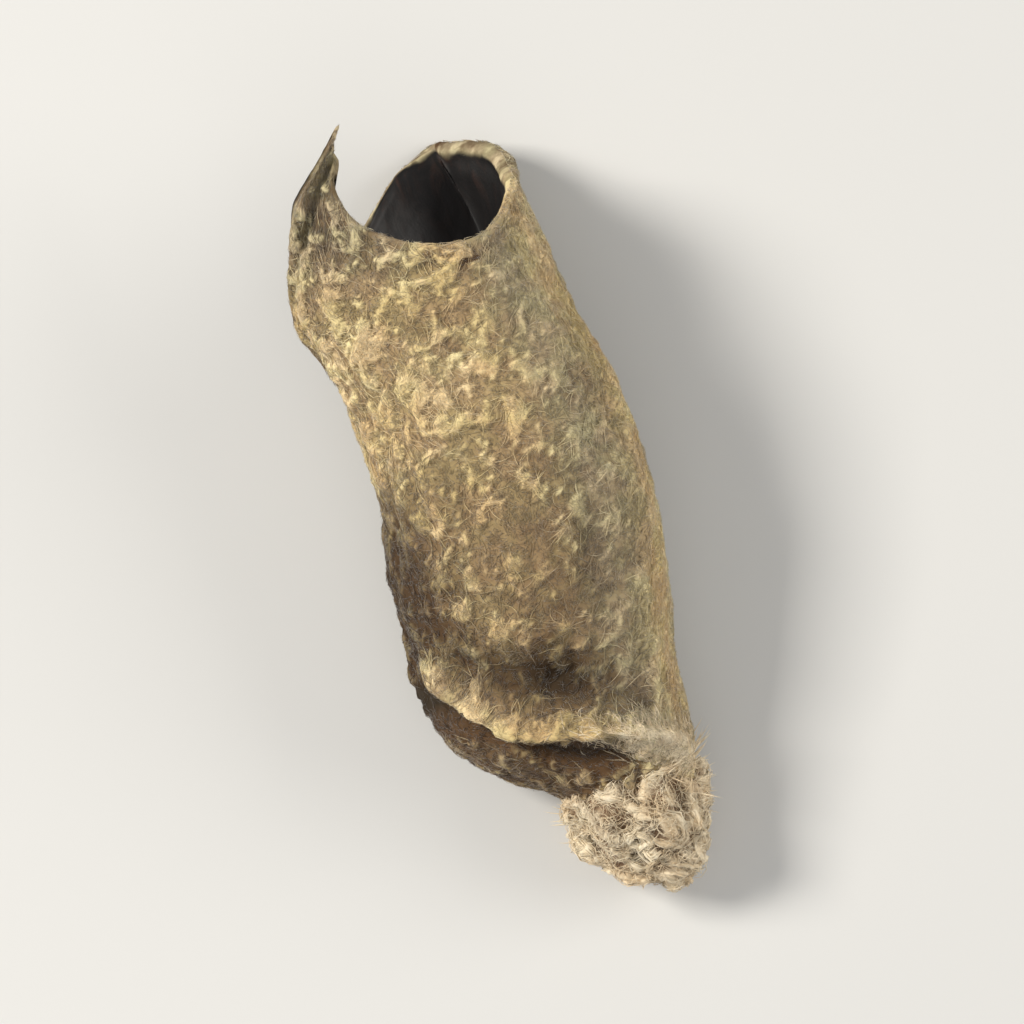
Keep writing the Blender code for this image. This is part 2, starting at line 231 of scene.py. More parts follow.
@dataclass(frozen=True)
class RollForm:
    """The sheet's smooth shape: an open roll with a horn, a flared mouth, a pit and a lip over the neck."""

    wall: float = 0.50
    margin_wall_share: float = 0.5
    margin_wall_reach: Span = (-0.2, 1.2)
    horn_wall_loss: float = 0.65
    horn_wall_reach: float = 1.5
    sheet_width: float = 19.0
    sheet_height: float = 17.0
    mean_radius: float = 3.5
    # height, centre's x, half width, depth of the front, depth of the back
    sections: tuple[tuple[float, ...], ...] = (
        (2.6, 0.15, 1.35, 1.25, 1.20),
        (3.4, 0.10, 1.95, 1.75, 1.55),
        (4.3, -0.35, 2.60, 2.20, 1.85),
        (5.4, -0.80, 3.10, 2.75, 2.08),
        (7.4, -0.78, 3.47, 3.15, 2.42),
        (9.4, -0.45, 3.65, 3.40, 2.72),
        (11.4, -0.25, 3.63, 3.45, 2.95),
        (13.8, -0.23, 3.40, 3.35, 3.10),
        (15.9, -0.60, 3.32, 3.25, 3.40),
        (17.8, -0.80, 3.28, 3.15, 3.80),
        (22.0, -0.72, 3.13, 2.90, 4.30),
    )
    back_powers: Span = (0.75, 0.42)
    back_power_heights: Span = (14.5, 18.5)
    # free edges as (angle, height)
    outer_margin: Curve = (
        (-18, 2.8), (-24, 7), (-18, 12), (-9, 15.5), (2, 17.7), (26, 19.2), (49, 20.6), (74, 21.95),
    )
    rim: Curve = (
        (74, 21.95), (65, 21.4), (60, 20.8), (59, 20.1), (66, 19.4), (78, 18.8), (91, 18.35),
        (109, 18.05), (122, 18.05), (135, 18.3), (154, 18.75), (176, 19.25), (190, 19.72), (203, 20.28),
        (218, 20.64), (235, 20.76), (247, 20.64), (257, 20.42), (266, 20.12),
    )
    inner_margin: Curve = (
        (318, 2.8), (336, 7), (340, 11), (330, 15), (306, 18.0), (282, 19.25), (266, 20.12),
    )
    tuck_share: float = 0.34
    tuck_angles: Span = (235, 345)
    untuck_share: float = 0.95
    untuck_heights: Span = (14, 17.5)
    tuck_heights: Span = (3, 7)
    lip: Curve = ((20, 7.5), (38, 6.9), (54, 5.85), (72, 5.2), (98, 4.85), (124, 4.3), (150, 3.75))
    lip_ends: tuple[Span, Span] = ((5, 35), (125, 160))
    lip_stand: float = 0.42
    lip_half_height: float = 0.42
    groove_below_lip: float = 0.9
    lip_sag: float = 0.35
    lip_sag_about: Span = (0.1, 0.5)
    inner_dent: float = 0.25
    inner_dent_about: Span = (-0.6, 1.0)
    pit_angle: float = 86
    pit_half_angle: float = 26
    pit_above_lip: float = 1.35
    pit_half_height: float = 0.74
    pit_depth: float = 1.05
    curl_stand: float = 0.28
    curl_width: float = 0.8
    curl_groove: float = 0.16
    curl_groove_at: float = 1.1
    curl_groove_width: float = 0.35
    curl_heights: Span = (12, 16.5)
    # stand, waves round the roll, turn with height, phase
    folds: tuple[tuple[float, ...], ...] = ((0.09, 4, 0.35, 0.0), (0.06, 7, -0.5, 1.3))
    dent_stand: float = 0.08
    # waves round the roll, turn with height, phase
    dent_waves: tuple[tuple[float, ...], ...] = ((2, 1.5, 0.0), (3, 0.0, 0.6))
    fold_heights: Span = (4.5, 7.5)
    # stand, reach from the edge, waves for each millimetre, phase
    rim_waves: tuple[float, ...] = (0.13, 1.6, 2.1, 0.5)
    side_waves: tuple[float, ...] = (0.12, 1.3, 1.9, 0.8)
    side_wave_heights: Span = (5, 8)
    rim_calm: float = 0.25
    rim_calm_angles: Span = (150, 200)
    # stand, angle, width, heights
    back_lobes: tuple[tuple[float, float, float, Span], ...] = (
        (1.04, 227, 21, (15.0, 19.5)),
        (0.61, 300, 16, (15.0, 18.0)),
    )

    def along(self, edge: Curve, share: Array) -> Array:
        """Reads one of the free edges.

        Args:
            edge: The edge, as (angle, height).
            share: Shares of the way along it.

        Returns:
            Angles and heights there.
        """
        angles, heights = np.transpose(edge)
        runs = np.hypot(np.radians(np.diff(angles)) * self.mean_radius, np.diff(heights))
        knots = np.concatenate([[0], np.cumsum(runs)]) / runs.sum()
        return np.array([through(knots, angles, share), through(knots, heights, share)])

    def places(self, up: Array, across: Array) -> Array:
        """Turns shares up the sheet and across it into angles and heights.

        Args:
            up: Shares of the way from the neck to the rim.
            across: Shares of the way from the outer to the inner margin.

        Returns:
            Angles and heights there.
        """
        left, right = self.along(self.outer_margin, up), self.along(self.inner_margin, up)
        top = self.along(self.rim, across)
        left_corner, right_corner = (
            np.reshape(edge[-1], (2, 1, 1)) for edge in (self.outer_margin, self.inner_margin)
        )
        straight_top = (1 - across) * left_corner + across * right_corner
        return (1 - across) * left + across * right + up * (top - straight_top)

    def above_lip(self, angle: Array, height: Array) -> Array:
        """Says how far places lie above the lip, negative below it."""
        angles, heights = np.transpose(self.lip)
        return height - through(angles, heights, np.clip(angle, angles[0], angles[-1]))

    def over_front(self, angle: Array) -> Array:
        """Gives 1 where the lip hangs over the neck, and 0 round the back."""
        left_end, right_end = self.lip_ends
        return eased(*left_end, angle) * (1 - eased(*right_end, angle))

    def lip_relief(self, angle: Array, height: Array, face: Face) -> Array:
        """Gives the lip and the groove under it, of which the inner face has only a dent.

        Args:
            angle: Angles round the roll, in degrees.
            height: Heights on the roll.
            face: Which side of the sheet.

        Returns:
            How far each place stands out.
        """
        above = self.above_lip(angle, height)
        if face is Face.INNER:
            return -self.inner_dent * self.over_front(angle) * hump(above, *self.inner_dent_about)
        lip = hump(above, 0, self.lip_half_height)
        groove = hump(above, -self.groove_below_lip, self.lip_half_height)
        return self.lip_stand * self.over_front(angle) * (lip - groove)

    def in_pit(self, angle: Array, height: Array) -> Array:
        """Gives 1 in the middle of the sunken crease, falling to 0 round it.

        Args:
            angle: Angles round the roll, in degrees.
            height: Heights on the roll.

        Returns:
            A share for each place.
        """
        above = self.above_lip(angle, height)
        across_it = hump(above, self.pit_above_lip, self.pit_half_height)
        return hump(angle, self.pit_angle, self.pit_half_angle) * across_it

    def margin_curl(self, across: Array, height: Array) -> Array:
        """Gives the outward curl of the outer margin at the mouth, with the groove inside it.

        Args:
            across: Shares of the way from the outer to the inner margin.
            height: Heights on the roll.

        Returns:
            How far each place stands out.
        """
        from_margin = across * self.sheet_width
        curl = self.curl_stand * hump(from_margin, 0, self.curl_width)
        groove = self.curl_groove * hump(from_margin, self.curl_groove_at, self.curl_groove_width)
        return eased(*self.curl_heights, height) * (curl - groove)

    def long_folds(self, angle: Array, height: Array) -> Array:
        """Gives the shallow folds and dents left by drying.

        Args:
            angle: Angles round the roll, in degrees.
            height: Heights on the roll.

        Returns:
            How far each place stands out.
        """
        turn = np.radians(angle)
        folds = sum(
            stand * np.sin(waves * turn + climb * height + at) for stand, waves, climb, at in self.folds
        )
        dents = math.prod(
            np.sin(climb * height + waves * turn + at) for waves, climb, at in self.dent_waves
        )
        return (folds + self.dent_stand * dents) * eased(*self.fold_heights, height)

    def margin_waves(self, up: Array, across: Array, angle: Array, height: Array) -> Array:
        """Gives the waves of the free edges, least on the front of the mouth.

        Args:
            up: Shares of the way from the neck to the rim.
            across: Shares of the way from the outer to the inner margin.
            angle: Angles round the roll, in degrees.
            height: Heights on the roll.

        Returns:
            How far each place stands out.
        """
        stand, reach, waves, phase = self.rim_waves
        calm = self.rim_calm + (1 - self.rim_calm) * eased(*self.rim_calm_angles, angle)
        run = np.radians(angle) * self.mean_radius
        rim = stand * calm * hump((1 - up) * self.sheet_height, 0, reach) * np.sin(waves * run + phase)
        stand, reach, waves, phase = self.side_waves
        near_side = hump(np.minimum(across, 1 - across) * self.sheet_width, 0, reach)
        side = stand * near_side * np.sin(waves * height + phase)
        return rim + side * eased(*self.side_wave_heights, height)

    def lobes(self, angle: Array, height: Array) -> Array:
        """Says how far the far rim bends down.

        Args:
            angle: Angles round the roll, in degrees.
            height: Heights on the roll.

        Returns:
            How far each place stands out.
        """
        return sum(
            stand * hump(angle, at, wide) * eased(*span, height) for stand, at, wide, span in self.back_lobes
        )

    def tuck(self, angle: Array, height: Array) -> Array:
        """Gives the share of the section's size at which places lie, under 1 at the inner margin.

        Args:
            angle: Angles round the roll, in degrees.
            height: Heights on the roll.

        Returns:
            A share for each place.
        """
        untuck = self.untuck_share * eased(*self.untuck_heights, height)
        tucked = self.tuck_share * eased(*self.tuck_angles, angle)
        return 1 - tucked * (1 - untuck) * eased(*self.tuck_heights, height)

    def layer(self, up: Array, across: Array, face: Face) -> Array:
        """Gives points of the outer face, or of the layer that the inner face follows.

        Args:
            up: Shares of the way from the neck to the rim, as a grid.
            across: Shares of the way from the outer to the inner margin.
            face: Which of the two.

        Returns:
            Points in the roll's frame.
        """
        angle, height = self.places(up, across)
        heights, centres, widths, fronts, backs = np.transpose(self.sections)
        stand = -self.pit_depth * self.in_pit(angle, height) + self.margin_curl(across, height)
        stand = stand + self.long_folds(angle, height) + self.margin_waves(up, across, angle, height)
        stand = stand + self.lip_relief(angle, height, face)
        sine, cosine = np.sin(np.radians(angle)), np.cos(np.radians(angle))
        low, high = self.back_powers
        power = low + (high - low) * eased(*self.back_power_heights, height)
        front = (through(heights, fronts, height) + stand) * sine
        back = -(through(heights, backs, height) + stand + self.lobes(angle, height)) * np.abs(sine) ** power
        size = self.tuck(angle, height)
        x = through(heights, centres, height) - (through(heights, widths, height) + stand) * cosine * size
        hung = self.over_front(angle) * hump(self.above_lip(angle, height), *self.lip_sag_about)
        y = height - self.lip_sag * hung if face is Face.OUTER else height
        return np.stack([x, y, np.where(sine >= 0, front, back) * size], axis=-1)

    def thickness(self, up: Array, across: Array) -> Array:
        """Gives the wall's thickness, which falls towards the free margins and most at the horn.

        Args:
            up: Shares of the way from the neck to the rim.
            across: Shares of the way from the outer to the inner margin.

        Returns:
            The thickness at each place.
        """
        from_side = np.minimum(across, 1 - across) * self.sheet_width
        from_rim = (1 - up) * self.sheet_height
        full = eased(*self.margin_wall_reach, np.minimum(from_side, from_rim))
        from_horn = np.hypot(across * self.sheet_width, from_rim)
        thinner = 1 - self.horn_wall_loss * hump(from_horn, 0, self.horn_wall_reach)
        return self.wall * (self.margin_wall_share + (1 - self.margin_wall_share) * full) * thinner

    def both_faces(self, up: Array, across: Array) -> tuple[Array, Array]:
        """Gives the outer and the inner face's points.

        Args:
            up: Shares of the way from the neck to the rim.
            across: Shares of the way from the outer to the inner margin.

        Returns:
            The outer face's points, then the inner face's.
        """
        outer = self.layer(up, across, Face.OUTER)
        layer = self.layer(up, across, Face.INNER)
        return outer, layer + normals_of(layer) * -self.thickness(up, across)[..., None]


def normals_of(grid: Array, wraps: bool = False) -> Array:
    """Gives the outward normals of a grid of points.

    Args:
        grid: Points, in rows up the piece and columns round it.
        wraps: True if the last column meets the first.

    Returns:
        A normal for each point.
    """
    if wraps:
        wide = np.concatenate([grid[:, -1:], grid, grid[:, :1]], axis=1)
        round_it = np.gradient(wide, axis=1)[:, 1:-1]
    else:
        round_it = np.gradient(grid, axis=1)
    return unit(np.cross(round_it, np.gradient(grid, axis=0)))


@dataclass(frozen=True)
class FootForm:
    """The torn knob below the roll."""

    # height, centre's x and radius
    outline: tuple[tuple[float, ...], ...] = (
        (0.0, 0.60, 0.25), (0.4, 0.50, 0.90), (1.1, 0.33, 1.48), (2.0, 0.17, 1.86), (2.7, 0.15, 1.92),
        (3.4, 0.15, 1.72), (4.3, 0.15, 1.55), (5.0, 0.15, 0.95),
    )
    tuft_centre: float = 0.15
    # share of the radius, waves round it, turn with height, phase
    lumps: tuple[tuple[float, ...], ...] = ((0.08, 3, 1.7, 0.0), (0.06, 7, -2.3, 0.0), (0.04, 11, 4.1, 1.0))
    core_heights: Span = (2.8, 3.8)
    flat_depth: float = 1.355
    flat_slope: float = 0.160
    # angle, height, how far a tuft stands out, how far it bends up
    tufts: tuple[tuple[float, ...], ...] = (
        (186, 3.1, 0.75, 0.5), (168, 2.5, 0.6, -0.1), (140, 3.0, 0.45, 0.35),
        (206, 2.2, 0.45, -0.3), (14, 2.5, 0.5, 0.3),
    )
    tuft_root: float = 1.2
    tuft_buried: float = 0.6
    tuft_radius: float = 0.42

    def points(self, turn: Array, height: Array) -> Array:
        """Gives points of the foot's lumpy skin.

        Args:
            turn: Angles round the foot, in radians.
            height: Heights up it.

        Returns:
            Points in the roll's frame.
        """
        heights, centres, radii = np.transpose(self.outline)
        ragged = 1 - eased(*self.core_heights, height)
        lumps = sum(
            share * np.sin(waves * turn + climb * height + at) for share, waves, climb, at in self.lumps
        )
        radius = through(heights, radii, height) * (1 + ragged * lumps)
        depth = np.maximum(radius * np.sin(turn), -self.flat_depth - self.flat_slope * height)
        centre = through(heights, centres, height)
        return np.stack([centre - radius * np.cos(turn), height + 0 * turn, depth], axis=-1)


@dataclass(frozen=True)
class Rest:
    """How the ear lies: tilted, with its lowest corner where the solid has its own."""

    shift: tuple[float, float, float]
    tilt: float = 9.131
    floor_gap: float = 0.004
    sheet_samples: tuple[int, int] = (60, 80)  # up and across
    foot_samples: tuple[int, int] = (60, 40)  # round and up

    @classmethod
    def on_solid(cls, roll: RollForm, foot: FootForm) -> "Rest":
        """Finds where the ear lies from the box of the solid that it stands for.

        Args:
            roll: The sheet's form.
            foot: The foot's form.

        Returns:
            How they lie.
        """
        up, across = np.meshgrid(*(np.linspace(0, 1, count) for count in cls.sheet_samples), indexing="ij")
        spans = zip((2 * math.pi, foot.outline[-1][0]), cls.foot_samples)
        turn, height = np.meshgrid(*(np.linspace(0, end, count) for end, count in spans))
        smooth = [*roll.both_faces(up, across), foot.points(turn, height)]
        laid = cls((0, 0, 0)).turned(np.concatenate([points.reshape(-1, 3) for points in smooth]))
        low = np.array(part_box(NODE)[0]) / MM
        return cls(tuple(low - laid.min(axis=0)))

    def turned(self, points: Array) -> Array:
        """Tilts points in the roll's frame about X.

        Args:
            points: Points in the roll's frame.

        Returns:
            The same points, tilted.
        """
        tilt = math.radians(self.tilt)
        x, y, z = np.moveaxis(points, -1, 0)
        return np.stack(
            [x, y * math.cos(tilt) - z * math.sin(tilt), y * math.sin(tilt) + z * math.cos(tilt)], axis=-1
        )

    def laid(self, points: Array) -> Array:
        """Moves points of the roll's frame into the solid's frame, still in millimetres, above the floor.

        Args:
            points: Points in the roll's frame.

        Returns:
            The same points, none of them below the floor.
        """
        moved = self.turned(points) + np.array(self.shift)
        moved[..., 2] = np.maximum(moved[..., 2], self.floor_gap)
        return moved


# ---------------------------------------------------------------- meshes


def placed(name: str, data: bpy.types.ID) -> Piece:
    """Makes an object and puts it in the scene.

    Args:
        name: Its name.
        data: Its mesh, lamp or camera.

    Returns:
        The object.
    """
    made = bpy.data.objects.new(name, data)
    bpy.context.scene.collection.objects.link(made)
    return made


@dataclass
class MeshData:
    """Points, faces and what the materials read from them, before Blender has them.

    Faces are given as rows of corner numbers, and uv has one place for each corner of those rows in turn.
    """

    points: Array
    faces: list[Array]
    uv: list[Array]
    masks: dict[str, Array]

    def make(self, name: str, material: Material) -> Piece:
        """Makes the Blender object.

        Args:
            name: Its name.
            material: Its only material.

        Returns:
            The object, riding on the ear's body.
        """
        mesh = bpy.data.meshes.new(name)
        corners = np.concatenate([rows.ravel() for rows in self.faces])
        totals = np.concatenate([np.full(len(rows), rows.shape[1]) for rows in self.faces])
        mesh.vertices.add(len(self.points))
        mesh.loops.add(len(corners))
        mesh.polygons.add(len(totals))
        mesh.vertices.foreach_set("co", (self.points * MM).ravel())
        mesh.loops.foreach_set("vertex_index", corners)
        mesh.polygons.foreach_set("loop_start", np.concatenate([[0], np.cumsum(totals)[:-1]]))
        mesh.polygons.foreach_set("loop_total", totals)
        mesh.update(calc_edges=True)
        places = np.concatenate([rows.reshape(-1, 2) for rows in self.uv])
        mesh.uv_layers.new(name="OFBake").uv.foreach_set("vector", places.ravel())
        for label, values in self.masks.items():
            mesh.attributes.new(label, "FLOAT", "POINT").data.foreach_set("value", values.ravel())
        mesh.shade_smooth()
        mesh.materials.append(material)
        made = placed(name, mesh)
        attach(made, BODY)
        return made


def grid_faces(rows: int, columns: int, wraps: bool) -> Array:
    """Numbers the quads of a grid of points.

    Args:
        rows: Rows of points.
        columns: Points in each row.
        wraps: True if the last column meets the first.

    Returns:
        Four corner numbers for each quad, facing out.
    """
    row, column = np.meshgrid(np.arange(rows - 1), np.arange(columns - (not wraps)), indexing="ij")
    low, high = row * columns, (row + 1) * columns
    after = (column + 1) % columns
    return np.stack([low + column, low + after, high + after, high + column], axis=-1).reshape(-1, 4)


def quad_places(rows: int, columns: int) -> Array:
    """Gives the corners of a grid's quads on a map, in whole steps to the right and up.

    Args:
        rows: Rows of quads.
        columns: Quads in each row.

    Returns:
        Four places for each quad, in the order of grid_faces.
    """
    row, column = np.divmod(np.arange(rows * columns), columns)
    steps = ((0, 0), (1, 0), (1, 1), (0, 1))
    return np.stack([np.stack([column + right, row + up], axis=-1) for right, up in steps], axis=-2)


class Lay(Enum):
    """Which way hairs lie."""

    SWIRL = "swirl"
    TO_CREST = "to crest"
    ON_CREST = "on crest"
    UPWARD = "upward"


@dataclass
class Skin:
    """A face that hairs grow on: a grid of laid points with their normals and masks."""

    points: Array
    normals: Array
    masks: dict[str, Array]
    wraps: bool = False

    def __post_init__(self) -> None:
        """Measures the grid's spacing up and round the piece, and how the clumps rise."""
        self.up = np.gradient(self.points, axis=0)
        self.round = np.gradient(self.points, axis=1)
        rises = np.gradient(self.masks["clump"])
        lengths = [np.maximum(np.linalg.norm(step, axis=-1), LEAST_STEP) for step in (self.up, self.round)]
        self.rise = np.stack([rise / length for rise, length in zip(rises, lengths)], axis=-1)

    def read(self, values: Array, place: Array) -> Array:
        """Reads values of the grid between its points.

        Args:
            values: One number or vector for each grid point.
            place: Row and column, as fractions, for each place.

        Returns:
            The number or vector there.
        """
        rows, columns = values.shape[:2]
        row = np.clip(place[..., 0], 0, rows - 1 - JUST_INSIDE)
        column = place[..., 1]
        column = column % columns if self.wraps else np.clip(column, 0, columns - 1 - JUST_INSIDE)
        i, j = row.astype(int), column.astype(int)
        s, t = row - i, column - j
        if values.ndim > 2:
            s, t = s[..., None], t[..., None]
        k = (j + 1) % columns
        low = values[i, j] * (1 - t) + values[i, k] * t
        high = values[i + 1, j] * (1 - t) + values[i + 1, k] * t
        return low * (1 - s) + high * s

    def scatter(self, count: int, weight: Array, dice: np.random.Generator) -> Array:
        """Picks places, evenly over the face where the weight is even.

        Args:
            count: How many.
            weight: How many more of them fall at each grid point.
            dice: Random numbers.

        Returns:
            Row and column for each place.
        """
        area = np.linalg.norm(np.cross(self.up, self.round), axis=-1) * weight
        cells = area[:-1] if self.wraps else area[:-1, :-1]
        chosen = dice.choice(cells.size, count, p=cells.ravel() / cells.sum())
        row, column = np.divmod(chosen, cells.shape[1])
        return np.stack([row, column], axis=-1) + dice.random((count, 2))

    def walk(self, place: Array, heading: Array, step: Array) -> Array:
        """Moves places along the face.

        Args:
            place: Row and column of each.
            heading: Direction of each in radians, 0 up the piece.
            step: How far each goes, in millimetres.

        Returns:
            Their new rows and columns.
        """
        up = np.linalg.norm(self.read(self.up, place), axis=-1)
        across = np.linalg.norm(self.read(self.round, place), axis=-1)
        way = np.stack([np.cos(heading), np.sin(heading)], axis=-1)
        return place + way * step[:, None] / np.maximum(np.stack([up, across], axis=-1), LEAST_STEP)


@dataclass(frozen=True)
class Strand:
    """One kind of hair or fibre: how many there are, and how each runs."""

    count: int
    lengths: Span
    radius: float
    points: int
    sides: int
    seed: int
    lay: Lay = Lay.SWIRL
    spread: float = 0.5
    lift: float = 0.0
    stand: float = 0.0
    curl: float = 0.0
    swirl_size: float = 0.8
    taper: float = 2.2
    sink: float = 0.3  # how deep both ends lie, as a share of the radius
    least_lift: float = 0.4
    least_stand: float = 0.3
    floor_share: float = 1.3  # least height over the floor, as a share of the radius
    tone_seed: int = 900  # added to the seed for the tones

    def headings(self, skin: Skin, root: Array, dice: np.random.Generator) -> Array:
        """Gives the direction in which each strand sets out.

        Args:
            skin: What they grow on.
            root: Rows and columns of their roots.
            dice: Random numbers.

        Returns:
            Angles in radians, 0 up the piece.
        """
        heading = dice.normal(0, self.spread, self.count)
        if self.lay is Lay.SWIRL:
            return heading + 2 * math.pi * noise(skin.read(skin.points, root), self.swirl_size, self.seed)
        if self.lay is Lay.UPWARD:
            return heading
        rise = skin.read(skin.rise, root)
        across = math.pi / 2 if self.lay is Lay.ON_CREST else 0
        return heading + np.arctan2(rise[..., 1], rise[..., 0]) + across

    def lines(self, skin: Skin, weight: Array) -> tuple[Array, Array, Array]:
        """Lays the strands over a skin.

        Args:
            skin: What they grow on.
            weight: How dense they are at each grid point.

        Returns:
            Their points, the places of their roots, and the skin's normals under their points.
        """
        dice = np.random.default_rng(self.seed)
        root = skin.scatter(self.count, weight, dice)
        length = dice.uniform(*self.lengths, self.count)
        heading = self.headings(skin, root, dice)
        turning = self.curl * dice.normal(0, 1, self.count)
        lift = self.lift * dice.uniform(self.least_lift, 1.0, self.count)
        stand = self.stand * dice.uniform(self.least_stand, 1.0, self.count)
        place, line, normals = root, [], []
        for share in np.linspace(0, 1, self.points):
            normal = skin.read(skin.normals, place)
            height = lift * math.sin(math.pi * share) + stand * share - self.sink * self.radius
            line.append(skin.read(skin.points, place) + normal * height[:, None])
            normals.append(normal)
            place = skin.walk(place, heading + turning * share, length / (self.points - 1))
        lines = np.stack(line, axis=1)
        lines[..., 2] = np.maximum(lines[..., 2], self.floor_share * self.radius)
        return lines, root, np.stack(normals, axis=1)

    def profile(self) -> Array:
        """Gives each point's radius along a strand, which ends in a tip."""
        share = np.linspace(0, 1, self.points)
        return self.radius * (1 - share**self.taper)

    def grow(self, name: str, skin: Skin, weight: Array, material: Material) -> Piece:
        """Grows the strands on a skin as one piece.

        Args:
            name: The piece's name.
            skin: What they grow on.
            weight: How dense they are at each grid point.
            material: Their finish.

        Returns:
            The piece.
        """
        lines, root, normals = self.lines(skin, weight)
        masks = {label: skin.read(values, root) for label, values in skin.masks.items()}
        masks["tone"] = np.random.default_rng(self.seed + self.tone_seed).random(self.count)
        return tubes(lines, normals, self.profile(), self.sides, masks).make(name, material)


def tubes(lines: Array, normals: Array, radii: Array, sides: int, masks: dict[str, Array]) -> MeshData:
    """Turns lines into closed tapered tubes.

    Args:
        lines: Points of each line.
        normals: A direction at each point that isn't along the line.
        radii: Radius at each point; the last is taken as a tip.
        sides: Sides of each tube.
        masks: One value for each line, by name.

    Returns:
        The tubes, each with a patch of its own on the map.
    """
    count, steps = lines.shape[:2]
    along = unit(np.gradient(lines, axis=1))
    side = unit(np.cross(along, normals))
    top = np.cross(side, along)
    turn = np.linspace(0, 2 * math.pi, sides, endpoint=False)
    rim = np.cos(turn)[:, None] * side[:, :-1, None] + np.sin(turn)[:, None] * top[:, :-1, None]
    rings = lines[:, :-1, None] + rim * np.broadcast_to(radii, lines.shape[:2])[:, :-1, None, None]
    points = np.concatenate([rings.reshape(count, -1, 3), lines[:, -1:]], axis=1)
    each = points.shape[1]
    ring = np.arange(sides)
    last = (steps - 2) * sides
    tip = np.stack([last + ring, last + (ring + 1) % sides, np.full(sides, each - 1)], axis=-1)
    first = np.arange(count)[:, None, None] * each
    kinds = (grid_faces(steps - 1, sides, True), tip, ring[::-1][None])
    faces, uv = [], []
    for rows, patch in zip(kinds, patches(count, steps, sides)):
        if rows.size:
            faces.append((rows[None] + first).reshape(-1, rows.shape[-1]))
            uv.append(patch)
    shares = np.append(np.repeat(np.arange(steps - 1) / (steps - 1), sides), 1.0)
    spread = {name: np.repeat(values, each) for name, values in masks.items()}
    return MeshData(points.reshape(-1, 3), faces, uv, spread | {"along": np.tile(shares, count)})


def fibres(lines: Array, normals: Array, radii: Array, sides: int, tone: Array) -> MeshData:
    """Turns lines into tubes of the foot, each with a tone of its own and none of them in shade."""
    return tubes(lines, normals, radii, sides, {"tone": tone, "deep": np.zeros(len(lines))})


def patches(count: int, steps: int, sides: int, gap: float = 0.08, base: float = 0.4) -> list[Array]:
    """Gives each of many like tubes a cell of its own on the map.

    Args:
        count: How many tubes.
        steps: Points along each.
        sides: Sides of each.
        gap: Share of a cell that stays bare on each side.
        base: How high a base reaches, in steps.

    Returns:
        Places on the map for the corners of the sides, of the tips and of the bases.
    """
    cells = math.ceil(math.sqrt(count))
    cell = np.stack(np.divmod(np.arange(count), cells), axis=-1)[:, None, None]
    quads = quad_places(steps - 2, sides)[None]
    ring = np.arange(sides)
    low = np.full(sides, steps - 2)
    corners = ((ring, low), (ring + 1, low), (ring + 0.5, low + 1))
    tips = np.stack([np.stack(corner, axis=-1) for corner in corners], axis=-2)[None]
    bases = np.stack([np.linspace(sides, 0, sides), np.where(ring % 2, base, 0.0)], axis=-1)[None, None]
    scale = np.array([sides, steps - 1])
    return [(cell + gap + (1 - 2 * gap) * patch / scale) / cells for patch in (quads, tips, bases)]


# ---------------------------------------------------------------- shader nodes


